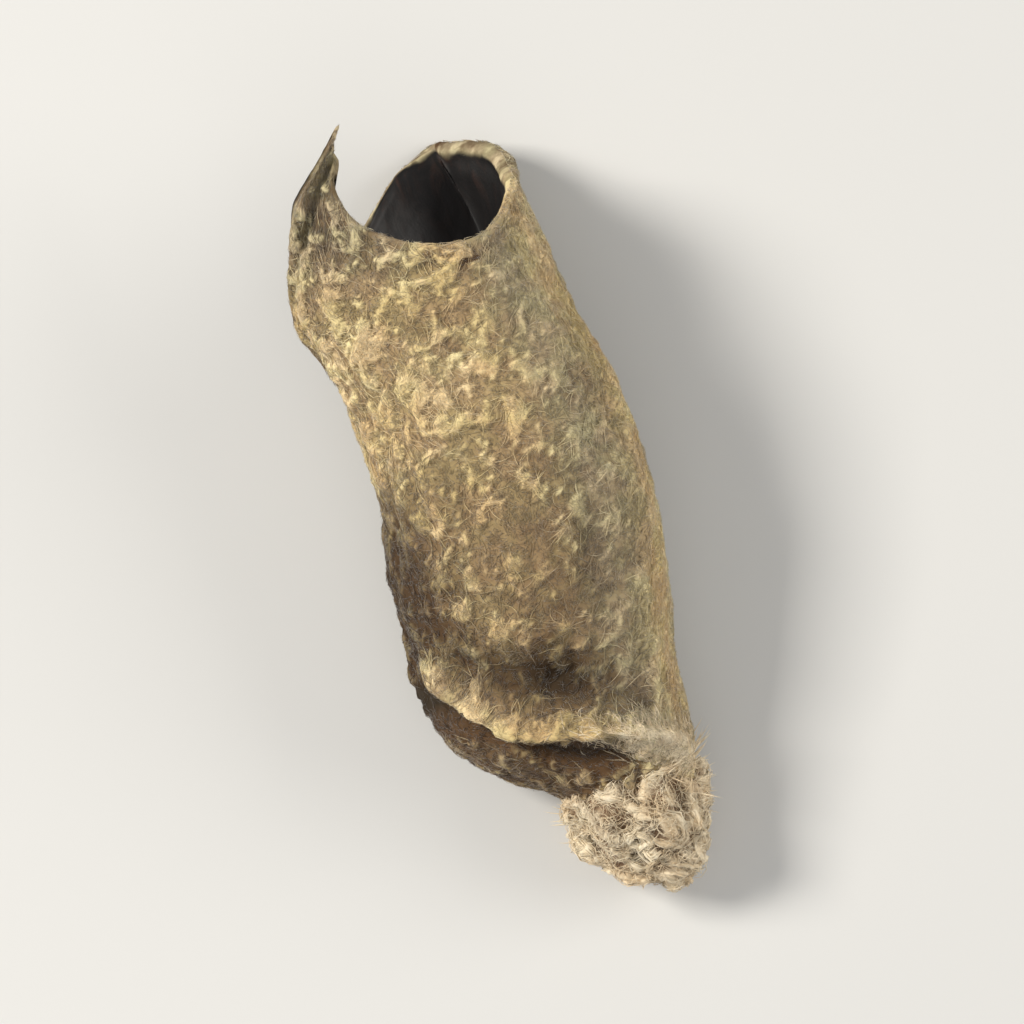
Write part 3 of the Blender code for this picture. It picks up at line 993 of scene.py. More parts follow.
class Graph:
    """Adds and links nodes in one shader tree."""

    def __init__(self, tree: bpy.types.NodeTree) -> None:
        """Starts on a tree, which may already hold nodes."""
        self.tree = tree

    def add(self, kind: str, inputs: Inputs | None = None, **settings: object) -> Node:
        """Adds a node.

        Args:
            kind: Its type, without the ShaderNode in front.
            inputs: What feeds each input: a socket to link, or a plain value.
            settings: The node's own settings.

        Returns:
            The node.
        """
        node = self.tree.nodes.new("ShaderNode" + kind)
        for name, value in settings.items():
            setattr(node, name, value)
        return self.feed(node, inputs or {})

    def feed(self, node: Node, inputs: Inputs) -> Node:
        """Links a node's inputs to sockets or sets their values, and gives the node.

        Args:
            node: The node.
            inputs: What feeds each input: a socket to link, or a plain value.

        Returns:
            The node.
        """
        for name, value in inputs.items():
            socket = node.inputs[name]
            if isinstance(value, Socket):
                self.tree.links.new(value, socket)
            elif isinstance(value, tuple) and len(value) == 3 and socket.type == "RGBA":
                socket.default_value = (*value, 1)
            else:
                socket.default_value = value
        return node

    def mask(self, name: str) -> Socket:
        """Reads one of the mesh's own masks."""
        return self.add("Attribute", attribute_name=name).outputs["Fac"]

    def place(self) -> Socket:
        """Gives places on the object, in metres."""
        return self.add("TexCoord").outputs["Object"]

    def noise(self, size: float, **inputs: object) -> Socket:
        """Adds noise with lumps of a size in millimetres, and gives its value."""
        given = {"Vector": self.place(), "Scale": 1 / (size * MM), "Roughness": 0.6, "Detail": 3.0, **inputs}
        return self.add("TexNoise", given).outputs["Fac"]

    def maths(self, operation: str, *values: object, clamp: bool = False) -> Socket:
        """Adds a Math node and gives its output."""
        return self.add("Math", dict(enumerate(values)), operation=operation, use_clamp=clamp).outputs[0]

    def times(self, first: object, second: object, clamp: bool = False) -> Socket:
        """Multiplies two numbers."""
        return self.maths("MULTIPLY", first, second, clamp=clamp)

    def plus(self, first: object, second: object, clamp: bool = False) -> Socket:
        """Adds two numbers."""
        return self.maths("ADD", first, second, clamp=clamp)

    def less(self, first: object, second: object, clamp: bool = False) -> Socket:
        """Takes the second number from the first."""
        return self.maths("SUBTRACT", first, second, clamp=clamp)

    def scaled(self, value: object, by: float, plus: object) -> Socket:
        """Multiplies a number and adds to the product."""
        return self.maths("MULTIPLY_ADD", value, by, plus)

    def ramp(self, value: object, low: float, high: float) -> Socket:
        """Stretches a value so that low gives 0 and high gives 1, with soft ends."""
        given = {"Value": value, "From Min": low, "From Max": high}
        return self.add("MapRange", given, interpolation_type="SMOOTHSTEP").outputs["Result"]

    def mix(self, share: object, first: object, second: object, blend: str = "MIX") -> Socket:
        """Mixes two colours and gives the result."""
        given = {0: share, 6: first, 7: second}
        return self.add("Mix", given, data_type="RGBA", blend_type=blend).outputs[2]

    def blend(self, share: object, first: object, second: object) -> Socket:
        """Mixes two numbers and gives the result."""
        return self.add("Mix", {0: share, 2: first, 3: second}, data_type="FLOAT").outputs[0]

    def grey(self, value: object) -> Socket:
        """Turns a number into a grey."""
        return self.add("CombineColor", {0: value, 1: value, 2: value}).outputs[0]

    def bump(self, strength: object, height: Socket) -> Socket:
        """Adds a bump of fine relief, and gives its normal."""
        return self.add("Bump", {"Strength": strength, "Distance": BUMP_DEPTH, "Height": height}).outputs[0]


class Group:
    """A shader node group with named inputs and outputs, built once and placed in several materials."""

    name: str = ""
    inputs: dict[str, float | Colour] = {}
    output: str = ""
    output_kind: str = "NodeSocketFloat"

    def place(self, graph: Graph, **values: object) -> Socket:
        """Puts the group in a tree.

        Args:
            graph: The tree.
            values: What feeds its inputs.

        Returns:
            The group's output there.
        """
        return graph.feed(graph.add("Group", node_tree=self.tree()), values).outputs[self.output]

    def tree(self) -> bpy.types.NodeTree:
        """Gives the group's tree, made when it is first asked for.

        Returns:
            The tree.
        """
        made = bpy.data.node_groups.get(self.name)
        if made:
            return made
        made = bpy.data.node_groups.new(self.name, "ShaderNodeTree")
        for name, value in self.inputs.items():
            colour = isinstance(value, tuple)
            kind = "NodeSocketColor" if colour else "NodeSocketFloat"
            socket = made.interface.new_socket(name=name, in_out="INPUT", socket_type=kind)
            socket.default_value = (*value, 1) if colour else value
        made.interface.new_socket(name=self.output, in_out="OUTPUT", socket_type=self.output_kind)
        given = made.nodes.new("NodeGroupInput")
        shown = made.nodes.new("NodeGroupOutput")
        made.links.new(self.fill(Graph(made), given.outputs), shown.inputs[self.output])
        return made

    def fill(self, graph: Graph, given: bpy.types.NodeOutputs) -> Socket:
        """Builds the group's nodes and gives what feeds its output."""
        raise NotImplementedError


class FeltColour(Group):
    """Colour of the felt.

    Cream clumps on tan, greyer on one side; wear and painted shade brown it; painted shade darkens hollows.
    """

    name = "felt_colour"
    inputs = {
        "Clump": 0.5, "Bare": 0.0, "Grey": 0.0, "Hollow": 0.0, "Pale": 0.0,
        "Cream": (0.90, 0.745, 0.445), "Gold": (0.72, 0.535, 0.265), "Tan": (0.42, 0.305, 0.162),
        "Grey Cream": (0.54, 0.47, 0.32), "Grey Tan": (0.28, 0.237, 0.155),
        "Olive": (0.975, 1.0, 0.91), "Rose": (1.0, 0.955, 0.93),
        # Brown stands for worn skin and painted shade, Dark for painted shade in the hollows
        "Brown": (0.107, 0.058, 0.026), "Dark": (0.026, 0.0185, 0.0095),
    }
    output = "Color"
    output_kind = "NodeSocketColor"
    fine_size: float = 0.22
    fine_strength: float = 0.9
    speck_size: float = 0.09
    speck_light: Span = (0.70, 1.26)
    patch_size: float = 2.3
    patch_ends: Span = (0.36, 0.66)
    patch_lift: float = 0.22
    tint_size: float = 0.85
    tint_ends: Span = (0.38, 0.62)
    clump_ends: Span = (0.12, 0.84)
    wear_and_shade_share: float = 1.5
    brown_clump_loss: float = 0.55
    hollow_shade_share: float = 0.9

    def fill(self, graph: Graph, given: bpy.types.NodeOutputs) -> Socket:
        """Builds the group's nodes and gives what feeds its output.

        Args:
            graph: The group's tree.
            given: The group's inputs.

        Returns:
            The felt's colour.
        """
        fine = graph.noise(self.fine_size)
        speck = graph.noise(self.speck_size, Detail=2.0)
        patch = graph.ramp(graph.noise(self.patch_size), *self.patch_ends)
        clump = graph.plus(given["Clump"], graph.scaled(fine, self.fine_strength, -self.fine_strength / 2))
        lifted = graph.ramp(graph.scaled(patch, self.patch_lift, clump), *self.clump_ends)
        # paler felt and painted highlights raise the cream share
        share = graph.plus(lifted, given["Pale"], clamp=True)
        light = graph.mix(graph.less(1.0, patch), given["Cream"], given["Gold"])
        warm = graph.mix(share, given["Tan"], light)
        cool = graph.mix(share, given["Grey Tan"], given["Grey Cream"])
        matted = graph.mix(given["Grey"], warm, cool)
        tint = graph.ramp(graph.noise(self.tint_size, Detail=2.0), *self.tint_ends)
        tinted = graph.mix(1.0, matted, graph.mix(tint, given["Olive"], given["Rose"]), "MULTIPLY")
        felt = graph.mix(1.0, tinted, graph.grey(graph.blend(speck, *self.speck_light)), "MULTIPLY")
        # wear and painted shade brown the felt, less on its clumps
        browning = graph.times(given["Bare"], self.wear_and_shade_share)
        brown_share = graph.less(browning, graph.times(clump, self.brown_clump_loss), clamp=True)
        browned = graph.mix(brown_share, felt, given["Brown"])
        # painted shade darkens the hollows
        return graph.mix(graph.times(given["Hollow"], self.hollow_shade_share), browned, given["Dark"])

    @classmethod
    def on(cls, graph: Graph, pale: object) -> Socket:
        """Places the group with the mesh's own masks, and gives its colour."""
        masks = {name: graph.mask(name.lower()) for name in ("Clump", "Bare", "Grey", "Hollow")}
        return cls().place(graph, Pale=pale, **masks)


class FineWrinkles(Group):
    """Height of fine drying wrinkles and grain, for a bump."""

    name = "fine_wrinkles"
    inputs = {"Scale": 1000.0, "Stretch": 0.35}
    output = "Height"
    wrinkle_height: float = 2.0
    grain_size: float = 0.07
    grain_height: float = 0.25

    def fill(self, graph: Graph, given: bpy.types.NodeOutputs) -> Socket:
        """Builds the group's nodes and gives what feeds its output.

        Args:
            graph: The group's tree.
            given: The group's inputs.

        Returns:
            The wrinkles' height.
        """
        along = graph.add("CombineXYZ", {0: 1.0, 1: given["Stretch"], 2: 1.0}).outputs[0]
        long = graph.add("VectorMath", {0: graph.place(), 1: along}, operation="MULTIPLY").outputs[0]
        wrinkles = graph.noise(1.0, Vector=long, Scale=given["Scale"], Detail=4.0, Distortion=0.6)
        folded = graph.times(graph.maths("ABSOLUTE", graph.less(wrinkles, 0.5)), self.wrinkle_height)
        return graph.plus(folded, graph.times(graph.noise(self.grain_size, Detail=2.0), self.grain_height))

    @classmethod
    def on(cls, graph: Graph, wrinkles: Span) -> Socket:
        """Places the group with a scale and a stretch, and gives its height."""
        scale, stretch = wrinkles
        return cls().place(graph, Scale=scale, Stretch=stretch)


def new_material(name: str) -> tuple[Material, Graph, Node]:
    """Makes an empty material.

    Args:
        name: Its name.

    Returns:
        The material, its tree, and its Principled shader.
    """
    material = bpy.data.materials.new(name)
    material.use_nodes = True
    return material, Graph(material.node_tree), material.node_tree.nodes["Principled BSDF"]


@dataclass(frozen=True)
class SheetFinish:
    """The sheet: felted skin outside, smooth and nearly black inside."""

    inner_dark: Colour = (0.0065, 0.0055, 0.0055)
    inner_brown: Colour = (0.030, 0.014, 0.0095)
    brown_ends: Span = (0.15, 0.55)
    bloom: Colour = (0.030, 0.026, 0.024)
    bloom_size: float = 1.4
    bloom_ends: Span = (0.5, 0.72)
    bloom_share: float = 0.35
    wrinkles: Span = (1500.0, 0.4)  # how many for each metre, and how far they are drawn out
    roughness: Span = (0.93, 0.60)  # of the felt and of the inner skin
    bump: Span = (0.5, 0.32)
    specular: float = 0.28

    def make(self) -> Material:
        """Builds the material.

        Returns:
            The material.
        """
        material, graph, shader = new_material("sheet_skin")
        felt = FeltColour.on(graph, graph.mask("pale"))
        wrinkles = FineWrinkles.on(graph, self.wrinkles)
        inside = graph.mask("inside")
        brown = graph.times(graph.mask("rusty"), graph.ramp(wrinkles, *self.brown_ends))
        inner = graph.mix(brown, self.inner_dark, self.inner_brown)
        dust = graph.ramp(graph.noise(self.bloom_size, Detail=5.0), *self.bloom_ends)
        inner = graph.mix(graph.times(dust, self.bloom_share), inner, self.bloom)
        graph.feed(shader, {
            "Base Color": graph.mix(inside, felt, inner),
            "Roughness": graph.blend(inside, *self.roughness),
            "Specular IOR Level": self.specular,
            "Normal": graph.bump(graph.blend(inside, *self.bump), wrinkles),
        })
        return material


@dataclass(frozen=True)
class HairFinish:
    """The hairs of the felt, which take the felt's colour where they root and pale towards their tips."""

    tip: Colour = (0.82, 0.70, 0.46)
    tip_share: float = 0.45
    tone_span: float = 0.55
    tone_start: float = -0.22
    grey_loss: float = 0.6
    wear_and_shade_loss: float = 0.7
    roughness: float = 0.85
    sheen: float = 0.3

    def make(self) -> Material:
        """Builds the material.

        Returns:
            The material.
        """
        material, graph, shader = new_material("felt_hair")
        tone = graph.scaled(graph.mask("tone"), self.tone_span, self.tone_start)
        felt = FeltColour.on(graph, graph.plus(graph.mask("pale"), tone))
        # tips pale less on grey felt, on wear and in painted shade
        dull = graph.mask("hollow")
        for name, loss in (("grey", self.grey_loss), ("bare", self.wear_and_shade_loss)):
            dull = graph.plus(dull, graph.times(graph.mask(name), loss), clamp=True)
        shown = graph.times(graph.less(1.0, dull), graph.mask("clump"), clamp=True)
        towards_tip = graph.times(graph.mask("along"), graph.times(shown, self.tip_share))
        colour = graph.mix(towards_tip, felt, self.tip)
        graph.feed(shader, {"Base Color": colour, "Roughness": self.roughness, "Sheen Weight": self.sheen})
        return material


@dataclass(frozen=True)
class FootFinish:
    """The torn foot: pale matted fibres, with brown painted shade in the gaps and up under the lip."""

    cream: Colour = (0.92, 0.80, 0.585)
    buff: Colour = (0.80, 0.64, 0.42)
    # painted shade colour of the gaps and the neck
    brown: Colour = (0.21, 0.125, 0.068)
    patch_size: float = 0.8
    patch_ends: Span = (0.36, 0.62)
    tone_span: float = 0.5
    gap_ends: Span = (0.30, 0.05)
    gap_share: float = 0.25
    wrinkles: Span = (2600.0, 0.8)
    roughness: float = 0.88
    sheen: float = 0.2
    bump: float = 0.5

    def make(self) -> Material:
        """Builds the material.

        Returns:
            The material.
        """
        material, graph, shader = new_material("torn_foot")
        wrinkles = FineWrinkles.on(graph, self.wrinkles)
        tone = graph.scaled(graph.mask("tone"), self.tone_span, -self.tone_span / 2)
        patch = graph.ramp(graph.noise(self.patch_size, Detail=4.0), *self.patch_ends)
        flesh = graph.mix(graph.plus(patch, tone, clamp=True), self.buff, self.cream)
        # painted shade in the wrinkles' valleys, and in the deep parts
        gaps = graph.times(graph.ramp(wrinkles, *self.gap_ends), self.gap_share)
        shade = graph.plus(gaps, graph.mask("deep"), clamp=True)
        graph.feed(shader, {
            "Base Color": graph.mix(shade, flesh, self.brown),
            "Roughness": self.roughness,
            "Sheen Weight": self.sheen,
            "Normal": graph.bump(self.bump, wrinkles),
        })
        return material


# ---------------------------------------------------------------- the pieces


@dataclass(frozen=True)
class Grain:
    """One kind of noise, with how strong it is, how wide its lumps are and which field it is."""

    strength: float
    size: float
    seed: int
    octaves: int = 1
    drawn_out: float = 1.0  # under 1 its lumps are drawn out along the ear

    def read(self, points: Array) -> Array:
        """Gives its value at points, up to about its strength on both sides of 0."""
        drawn = points * np.array([1.0, self.drawn_out, 1.0])
        return self.strength * rough(drawn, self.size, self.seed, self.octaves)

    def share(self, points: Array) -> Array:
        """Gives the same from about 0 to 1, where the strength is a half."""
        return 0.5 + self.read(points)


@dataclass(frozen=True)
class Zone:
    """A part of the sheet with soft ends: the product of what each of several measures gives.

    A measure is read by its name, and may be another zone. A span is a centre and a half width in around,
    and a start and an end in rising and falling. What stands in less takes its share away where it is 1.
    """

    around: dict[str, Span] = field(default_factory=dict)
    rising: dict[str, Span] = field(default_factory=dict)
    falling: dict[str, Span] = field(default_factory=dict)
    less: dict[str, float] = field(default_factory=dict)

    def share(self, read: Callable[[str], Array]) -> Array:
        """Says how far places lie in the zone.

        Args:
            read: Gives a measure by its name.

        Returns:
            1 well inside the zone and 0 outside it, for each place.
        """
        parts = [hump(read(name), *span) for name, span in self.around.items()]
        parts += [eased(*span, read(name)) for name, span in self.rising.items()]
        parts += [1 - eased(*span, read(name)) for name, span in self.falling.items()]
        parts += [1 - share * read(name) for name, share in self.less.items()]
        return math.prod(parts)


@dataclass(frozen=True)
class SheetZones:
    """The parts of the sheet that differ in relief, wear or colour.

    Angles are in degrees. The height, how far above the lip a place lies, and its distances from the nearest
    free edge, from the outer margin and from the rim are in millimetres. The other measures are shares.
    """

    right: Zone = Zone(rising={"angle": (88, 116)})
    back: Zone = Zone(rising={"angle": (165, 190)})
    far_back: Zone = Zone(rising={"angle": (200, 240)})
    far_rim: Zone = Zone(rising={"angle": (165, 192), "height": (16, 18)})
    bead_line: Zone = Zone(around={"edge": (0.18, 0.26)})
    bridge: Zone = Zone(
        around={"above": (-0.85, 0.6)}, rising={"angle": (94, 116)}, falling={"angle": (150, 172)}
    )
    off_bridge: Zone = Zone(less={"bridge": 0.6})
    # where the felt lies flatter
    smooth_right: Zone = Zone(rising={"angle": (100, 128)})
    waist: Zone = Zone(around={"angle": (80, 45), "height": (9.0, 2.8)})
    low_left: Zone = Zone(falling={"angle": (30, 62), "height": (12, 15)})
    ridge: Zone = Zone(
        around={"off_ridge": (0, 8)}, rising={"height": (5.5, 8)}, falling={"height": (15.5, 18)}
    )
    # painted highlight along the ridge's crest
    ridge_line: Zone = Zone(around={"angle": (127, 8)}, rising={"height": (6, 8)})
    # wear, and painted shade in hollows, under the lip and on the flank
    far_below: Zone = Zone(falling={"above": (-1.8, -1.0)})
    # painted shade under the lip
    under_lip: Zone = Zone(
        falling={"above": (-0.50, -0.10)}, less={"far_below": 0.35, "back": 1, "right": 0.8}
    )
    lip_light: Zone = Zone(around={"above": (0.15, 0.6)}, rising={"angle": (8, 24)})
    # painted shade down the left flank
    flank: Zone = Zone(
        rising={"height": (5.0, 7.2)}, falling={"ragged_angle": (12, 74), "height": (10.2, 14)},
        less={"lip_light": 0.8},
    )
    crease: Zone = Zone(around={"angle": (91, 39), "above": (1.28, 0.80)})
    groove: Zone = Zone(around={"above": (-0.72, 0.38)}, less={"right": 1, "back": 1})
    margin_shade: Zone = Zone(
        around={"margin": (0, 0.5)}, rising={"height": (10.5, 13)}, falling={"height": (17, 18)}
    )
    near_rim: Zone = Zone(around={"rim": (0.8, 0.38), "angle": (110, 22)})
    # painted shade: browner across the middle of the front
    belly: Zone = Zone(around={"angle": (90, 46), "height": (9.0, 3.2)})
    edge_line: Zone = Zone(around={"edge": (0.05, 0.2)})
    horn: Zone = Zone(rising={"height": (16.8, 19.5)}, falling={"angle": (80, 100)})
    curl_groove: Zone = Zone(around={"margin": (1.15, 0.5)}, rising={"height": (13, 16.5)})
    off_groove: Zone = Zone(less={"curl_groove": 1})
    tucked_margin: Zone = Zone(rising={"across": (0.97, 0.99)}, falling={"height": (18.5, 19.6)})
    spots: Zone = Zone(rising={"speckle": (0.50, 0.72)})
    blotch_middle: Zone = Zone(rising={"blotch": (0.55, 0.8)})
    mottle: Zone = Zone(less={"clear": 0.45})
    light_mottle: Zone = Zone(less={"clear": 0.4})
    # greyer and paler parts, and painted highlights
    # grey is lifted off the painted highlight on the right edge
    pale_gap: Zone = Zone(around={"angle": (158, 24)})
    grey_side: Zone = Zone(rising={"angle": (98, 124)}, less={"pale_gap": 0.95})
    # the lip's cream crest, partly a painted highlight on its top
    lip_crest: Zone = Zone(around={"above": (0.1, 0.36)}, rising={"angle": (20, 60)})
    worn_edge: Zone = Zone(around={"edge": (0, 0.25)})
    curl_line: Zone = Zone(around={"margin": (0.35, 0.45)}, rising={"height": (16.5, 18)})
    beads: Zone = Zone(rising={"beading": (0.62, 0.75)}, around={"angle": (92, 32), "above": (1.1, 0.8)})
    # painted highlight along the right edge
    pale_right: Zone = Zone(
        around={"angle": (160, 22)}, rising={"height": (3, 6)}, falling={"height": (17, 19)}
    )
    rich_top: Zone = Zone(around={"angle": (58, 42), "height": (15, 3.2)})
    lean_middle: Zone = Zone(around={"angle": (98, 48), "height": (9.8, 3.4)})
    rusty_edge: Zone = Zone(around={"edge": (0.3, 1.0)})
    # where the foot's fibres reach up over the sheet
    beard: Zone = Zone(around={"angle": (133, 27), "above": (-0.45, 0.7)}, falling={"above": (0.1, 0.6)})


@dataclass(frozen=True)
class SheetMarks:
    """What adds up to each mask and relief: terms of a strength and the zones that multiply it."""

    bead: Terms = ((0.11, "far_rim", "bead_line"),)
    raised: Terms = ((0.13, "ridge"), (0.42, "bridge"))
    clump_share: Terms = ((1.0,), (-0.50, "smooth_right"), (-0.42, "waist"), (-0.35, "low_left"))
    clump: Terms = (
        (0.5,), (1.0, "clumping"), (0.14, "rich_top"), (-0.42, "lean_middle"), (-0.3, "crease"),
        (0.12, "horn"), (-0.42, "under_lip"),
    )
    # wear in blotches, spots, far rim and horn; painted shade in crease, under lip, flank, margin, belly
    bare: Terms = (
        (0.10, "blotch"), (0.55, "crease"), (0.85, "under_lip"), (0.75, "flank"),
        (0.9, "near_rim", "spots"), (0.6, "margin_shade"), (0.3, "far_back", "blotch"),
        (0.25, "spots", "blotch_middle"), (0.26, "belly"), (0.5, "far_rim", "edge_line", "spots"),
        (0.38, "horn", "off_groove"),
    )
    grey: Terms = ((0.75, "grey_side", "off_bridge"), (0.06, "off_bridge"), (0.75, "horn", "off_bridge"))
    # painted shade in the pit, crease, flank, groove under the lip and tucked-in margin
    hollow: Terms = (
        (0.25, "pit", "mottle"), (0.88, "crease", "mottle"), (0.75, "flank", "light_mottle"),
        (0.75, "groove"), (0.9, "tucked_margin"), (-0.08,),
    )
    # paler felt, with painted highlights on the right edge and the ridge and partly on the lip's crest
    pale: Terms = (
        (0.8, "lip_crest", "over_front"), (0.3, "worn_edge", "blotch"), (0.15, "curl_line"), (0.7, "beads"),
        (0.85, "pale_right"), (0.22, "ridge_line"), (0.6, "bridge"),
    )
    rusty: Terms = ((0.15,), (1.0, "rusty_edge"))


@dataclass
class Sheet:
    """The rolled sheet: its wall with fine relief, as dry felt outside and smooth skin inside."""

    form: RollForm
    rest: Rest
    zones: SheetZones = SheetZones()
    marks: SheetMarks = SheetMarks()
    rows: int = 190
    columns: int = 200
    crowding: float = 0.45  # how much closer the grid's lines lie at the sheet's edges
    clump_size: float = 0.46
    clump_seed: int = 3
    clump_height: float = 0.135
    clump_level: float = 0.3
    clump_slant: tuple[tuple[float, ...], ...] = ((1.0, 0.35, 0.0), (-0.35, 0.80, 0.0), (0.0, 0.0, 1.0))
    clump_contrast: Span = (0.35, 0.80)  # least, and what the share of the clumps adds
    wrinkles: Grain = Grain(strength=0.075, size=0.9, seed=21, octaves=3, drawn_out=0.28)
    dents: Grain = Grain(strength=0.10, size=2.1, seed=25, drawn_out=0.55)
    grit: Grain = Grain(strength=0.02, size=0.16, seed=41)
    inner_wrinkles: Grain = Grain(strength=0.05, size=0.9, seed=91, octaves=4, drawn_out=0.35)
    relief_fade: float = 0.45
    least_half: float = 0.02  # of the wall, where an edge is rounded
    ridge_angle: float = 127
    ridge_wander: Span = (4, 0.9)  # degrees, and waves up the roll
    nibble: float = 0.13
    nibbles: Grain = Grain(strength=0.5, size=1.1, seed=71, octaves=4)
    nibble_reach: Span = (0.12, 0.08)  # shares of the way up and across
    blotches: Grain = Grain(strength=0.5, size=1.3, seed=55, octaves=3)
    speckles: Grain = Grain(strength=0.5, size=0.55, seed=57, octaves=2)
    beading: Grain = Grain(strength=0.5, size=0.42, seed=59, octaves=2)
    flank_ragged: float = 34  # degrees
    rolled_felt: Span = (0.02, 0.17)  # how far the felt comes in over the edge, and more at the far rim
    rolled_ragged: Grain = Grain(strength=0.8, size=0.7, seed=81, octaves=3)
    inside_fade: float = 0.25
    map_edge: float = 0.03
    cap_height: float = 0.01
    cap_levels: Span = (0.005, 0.985)
    weld_reach: float = 1e-7  # in metres

    def __post_init__(self) -> None:
        """Lays out the grid, shapes both faces and marks the outer one."""
        self.up, self.across = self.grid()
        angle, height = self.form.places(self.up, self.across)
        wander, waves = self.ridge_wander
        self.measures = {
            "angle": angle,
            "height": height,
            "above": self.form.above_lip(angle, height),
            "across": self.across,
            "margin": self.across * self.form.sheet_width,
            "rim": (1 - self.up) * self.form.sheet_height,
            "edge": self.from_edge(),
            "off_ridge": angle - self.ridge_angle - wander * np.sin(waves * height),
            "pit": self.form.in_pit(angle, height),
            "over_front": self.form.over_front(angle),
        }
        self.shape()
        self.masks = self.marked()

    def where(self, name: str) -> Array:
        """Gives a measure or a zone by its name, for each place of the grid.

        Args:
            name: What it is called.

        Returns:
            Its value at each place.
        """
        if name not in self.measures:
            self.measures[name] = getattr(self.zones, name).share(self.where)
        return self.measures[name]

    def total(self, terms: Terms) -> Array:
        """Adds up terms, each a strength and the zones that multiply it."""
        return sum(strength * math.prod(self.where(name) for name in names) for strength, *names in terms)

    def grid(self) -> tuple[Array, Array]:
        """Gives the grid's shares up and across the sheet, with nibbled free edges.

        Returns:
            Shares of the way up the sheet, then across it.
        """
        even = (np.linspace(0, 1, self.rows), np.linspace(0, 1, self.columns))
        up, across = (share - self.crowding * np.sin(2 * math.pi * share) / (2 * math.pi) for share in even)
        up, across = np.meshgrid(up, across, indexing="ij")
        run = np.stack([across * self.form.sheet_width, up * self.form.sheet_height, 0 * up], axis=-1)
        bite = self.nibble * self.nibbles.share(run)
        reach_up, reach_in = self.nibble_reach
        edge_up = up * (1 - bite * hump(up, 1, reach_up) / self.form.sheet_height)
        inwards = bite * (hump(across, 0, reach_in) - hump(across, 1, reach_in)) / self.form.sheet_width
        return edge_up, across + inwards

    def from_edge(self) -> Array:
        """Gives each place's distance from the nearest free edge, along the sheet.

        Returns:
            The distances.
        """
        side = np.minimum(self.across - self.across[:, :1], self.across[:, -1:] - self.across)
        rim = (self.up[-1:] - self.up) * self.form.sheet_height
        return np.minimum(side * self.form.sheet_width, rim)

    def felt_relief(self, points: Array) -> Array:
        """Gives the felt's relief: clumps, wrinkles that run up the roll, dents and one long ridge.

        Args:
            points: Points of the smooth outer face.

        Returns:
            How far each point stands out.
        """
        lumps = self.clump_height * self.total(self.marks.clump_share) * (self.clump - self.clump_level)
        grains = sum(kind.read(points) for kind in (self.wrinkles, self.dents, self.grit))
        return lumps + self.total(self.marks.raised) + grains

    def shape(self) -> None:
        """Shapes both faces, rounds the free edges, thickens the far rim and adds the fine relief."""
        outer, inner = self.form.both_faces(self.up, self.across)
        outer_normals, inner_normals = normals_of(outer), -normals_of(inner)
        middle, across = (outer + inner) / 2, outer - inner
        half = np.linalg.norm(across, axis=-1) / 2
        thick = half + self.total(self.marks.bead)
        edge = self.where("edge")
        round_off = np.sqrt(1 - (1 - np.clip(edge / np.maximum(thick, self.least_half), 0, 1)) ** 2)
        reach = across * (thick * round_off / (2 * half))[..., None]
        fading = eased(0.0, self.relief_fade, edge)[..., None]
        self.clump = clots(outer @ np.array(self.clump_slant), self.clump_size, self.clump_seed)
        self.outer = middle + reach + outer_normals * self.felt_relief(outer)[..., None] * fading
        wrinkles = self.inner_wrinkles.read(inner)[..., None]
        self.inner = middle - reach + inner_normals * wrinkles * fading

    def marked(self) -> dict[str, Array]:
        """Gives where the felt is clumped; browned by wear and painted shade; grey; darkened by painted
        hollow shade;
        or paler and lit by painted highlights, for each place of the outer face.

        Returns:
            Values from 0 to 1, by the mask's name.
        """
        blotch = self.blotches.share(self.outer)
        least, more = self.clump_contrast
        contrast = least + more * self.total(self.marks.clump_share)
        self.measures |= {
            "blotch": blotch,
            "clear": 1 - blotch,
            "ragged_angle": self.where("angle") + self.flank_ragged * (blotch - 0.5),
            "speckle": self.speckles.share(self.outer),
            "beading": self.beading.share(self.outer),
            "clumping": (self.clump - 0.5) * contrast,
        }
        names = ("clump", "bare", "grey", "hollow", "pale")
        return {name: np.clip(self.total(getattr(self.marks, name)), 0, 1) for name in names}

    def skin(self) -> Skin:
        """Gives the outer face as something hairs grow on."""
        points = self.rest.laid(self.outer)
        return Skin(points, normals_of(points), self.masks)

    def build(self) -> Piece:
        """Builds the wall as one closed mesh, from both faces and the strip between them.

        Returns:
            The piece.
        """
        ring = np.concatenate([self.outer, self.inner[:, ::-1]], axis=1)
        rows, around = ring.shape[:2]
        start, end = (np.arange(around) + row * around for row in (0, rows - 1))
        rung = np.arange(around // 2 - 1)
        caps = [
            np.stack([side[rung], side[rung + 1], side[-2 - rung], side[-1 - rung]], axis=-1)
            for side in (start[::-1], end)
        ]
        faces = [grid_faces(rows, around, True), *caps]
        masks = self.masks | {"rusty": np.clip(self.total(self.marks.rusty), 0, 1)}
        masks = {name: np.concatenate([values, values[:, ::-1]], axis=1) for name, values in masks.items()}
        least, more = self.rolled_felt
        band = least + more * self.where("far_rim") * (1 + self.rolled_ragged.read(self.outer))
        inside = eased(0, self.inside_fade, self.where("edge") - band)[:, ::-1]
        masks["inside"] = np.concatenate([np.zeros_like(inside), inside], axis=1)
        data = MeshData(self.rest.laid(ring).reshape(-1, 3), faces, self.map(rows, around, rung), masks)
        made = data.make("sheet", SheetFinish().make())
        self.weld(made)
        return made

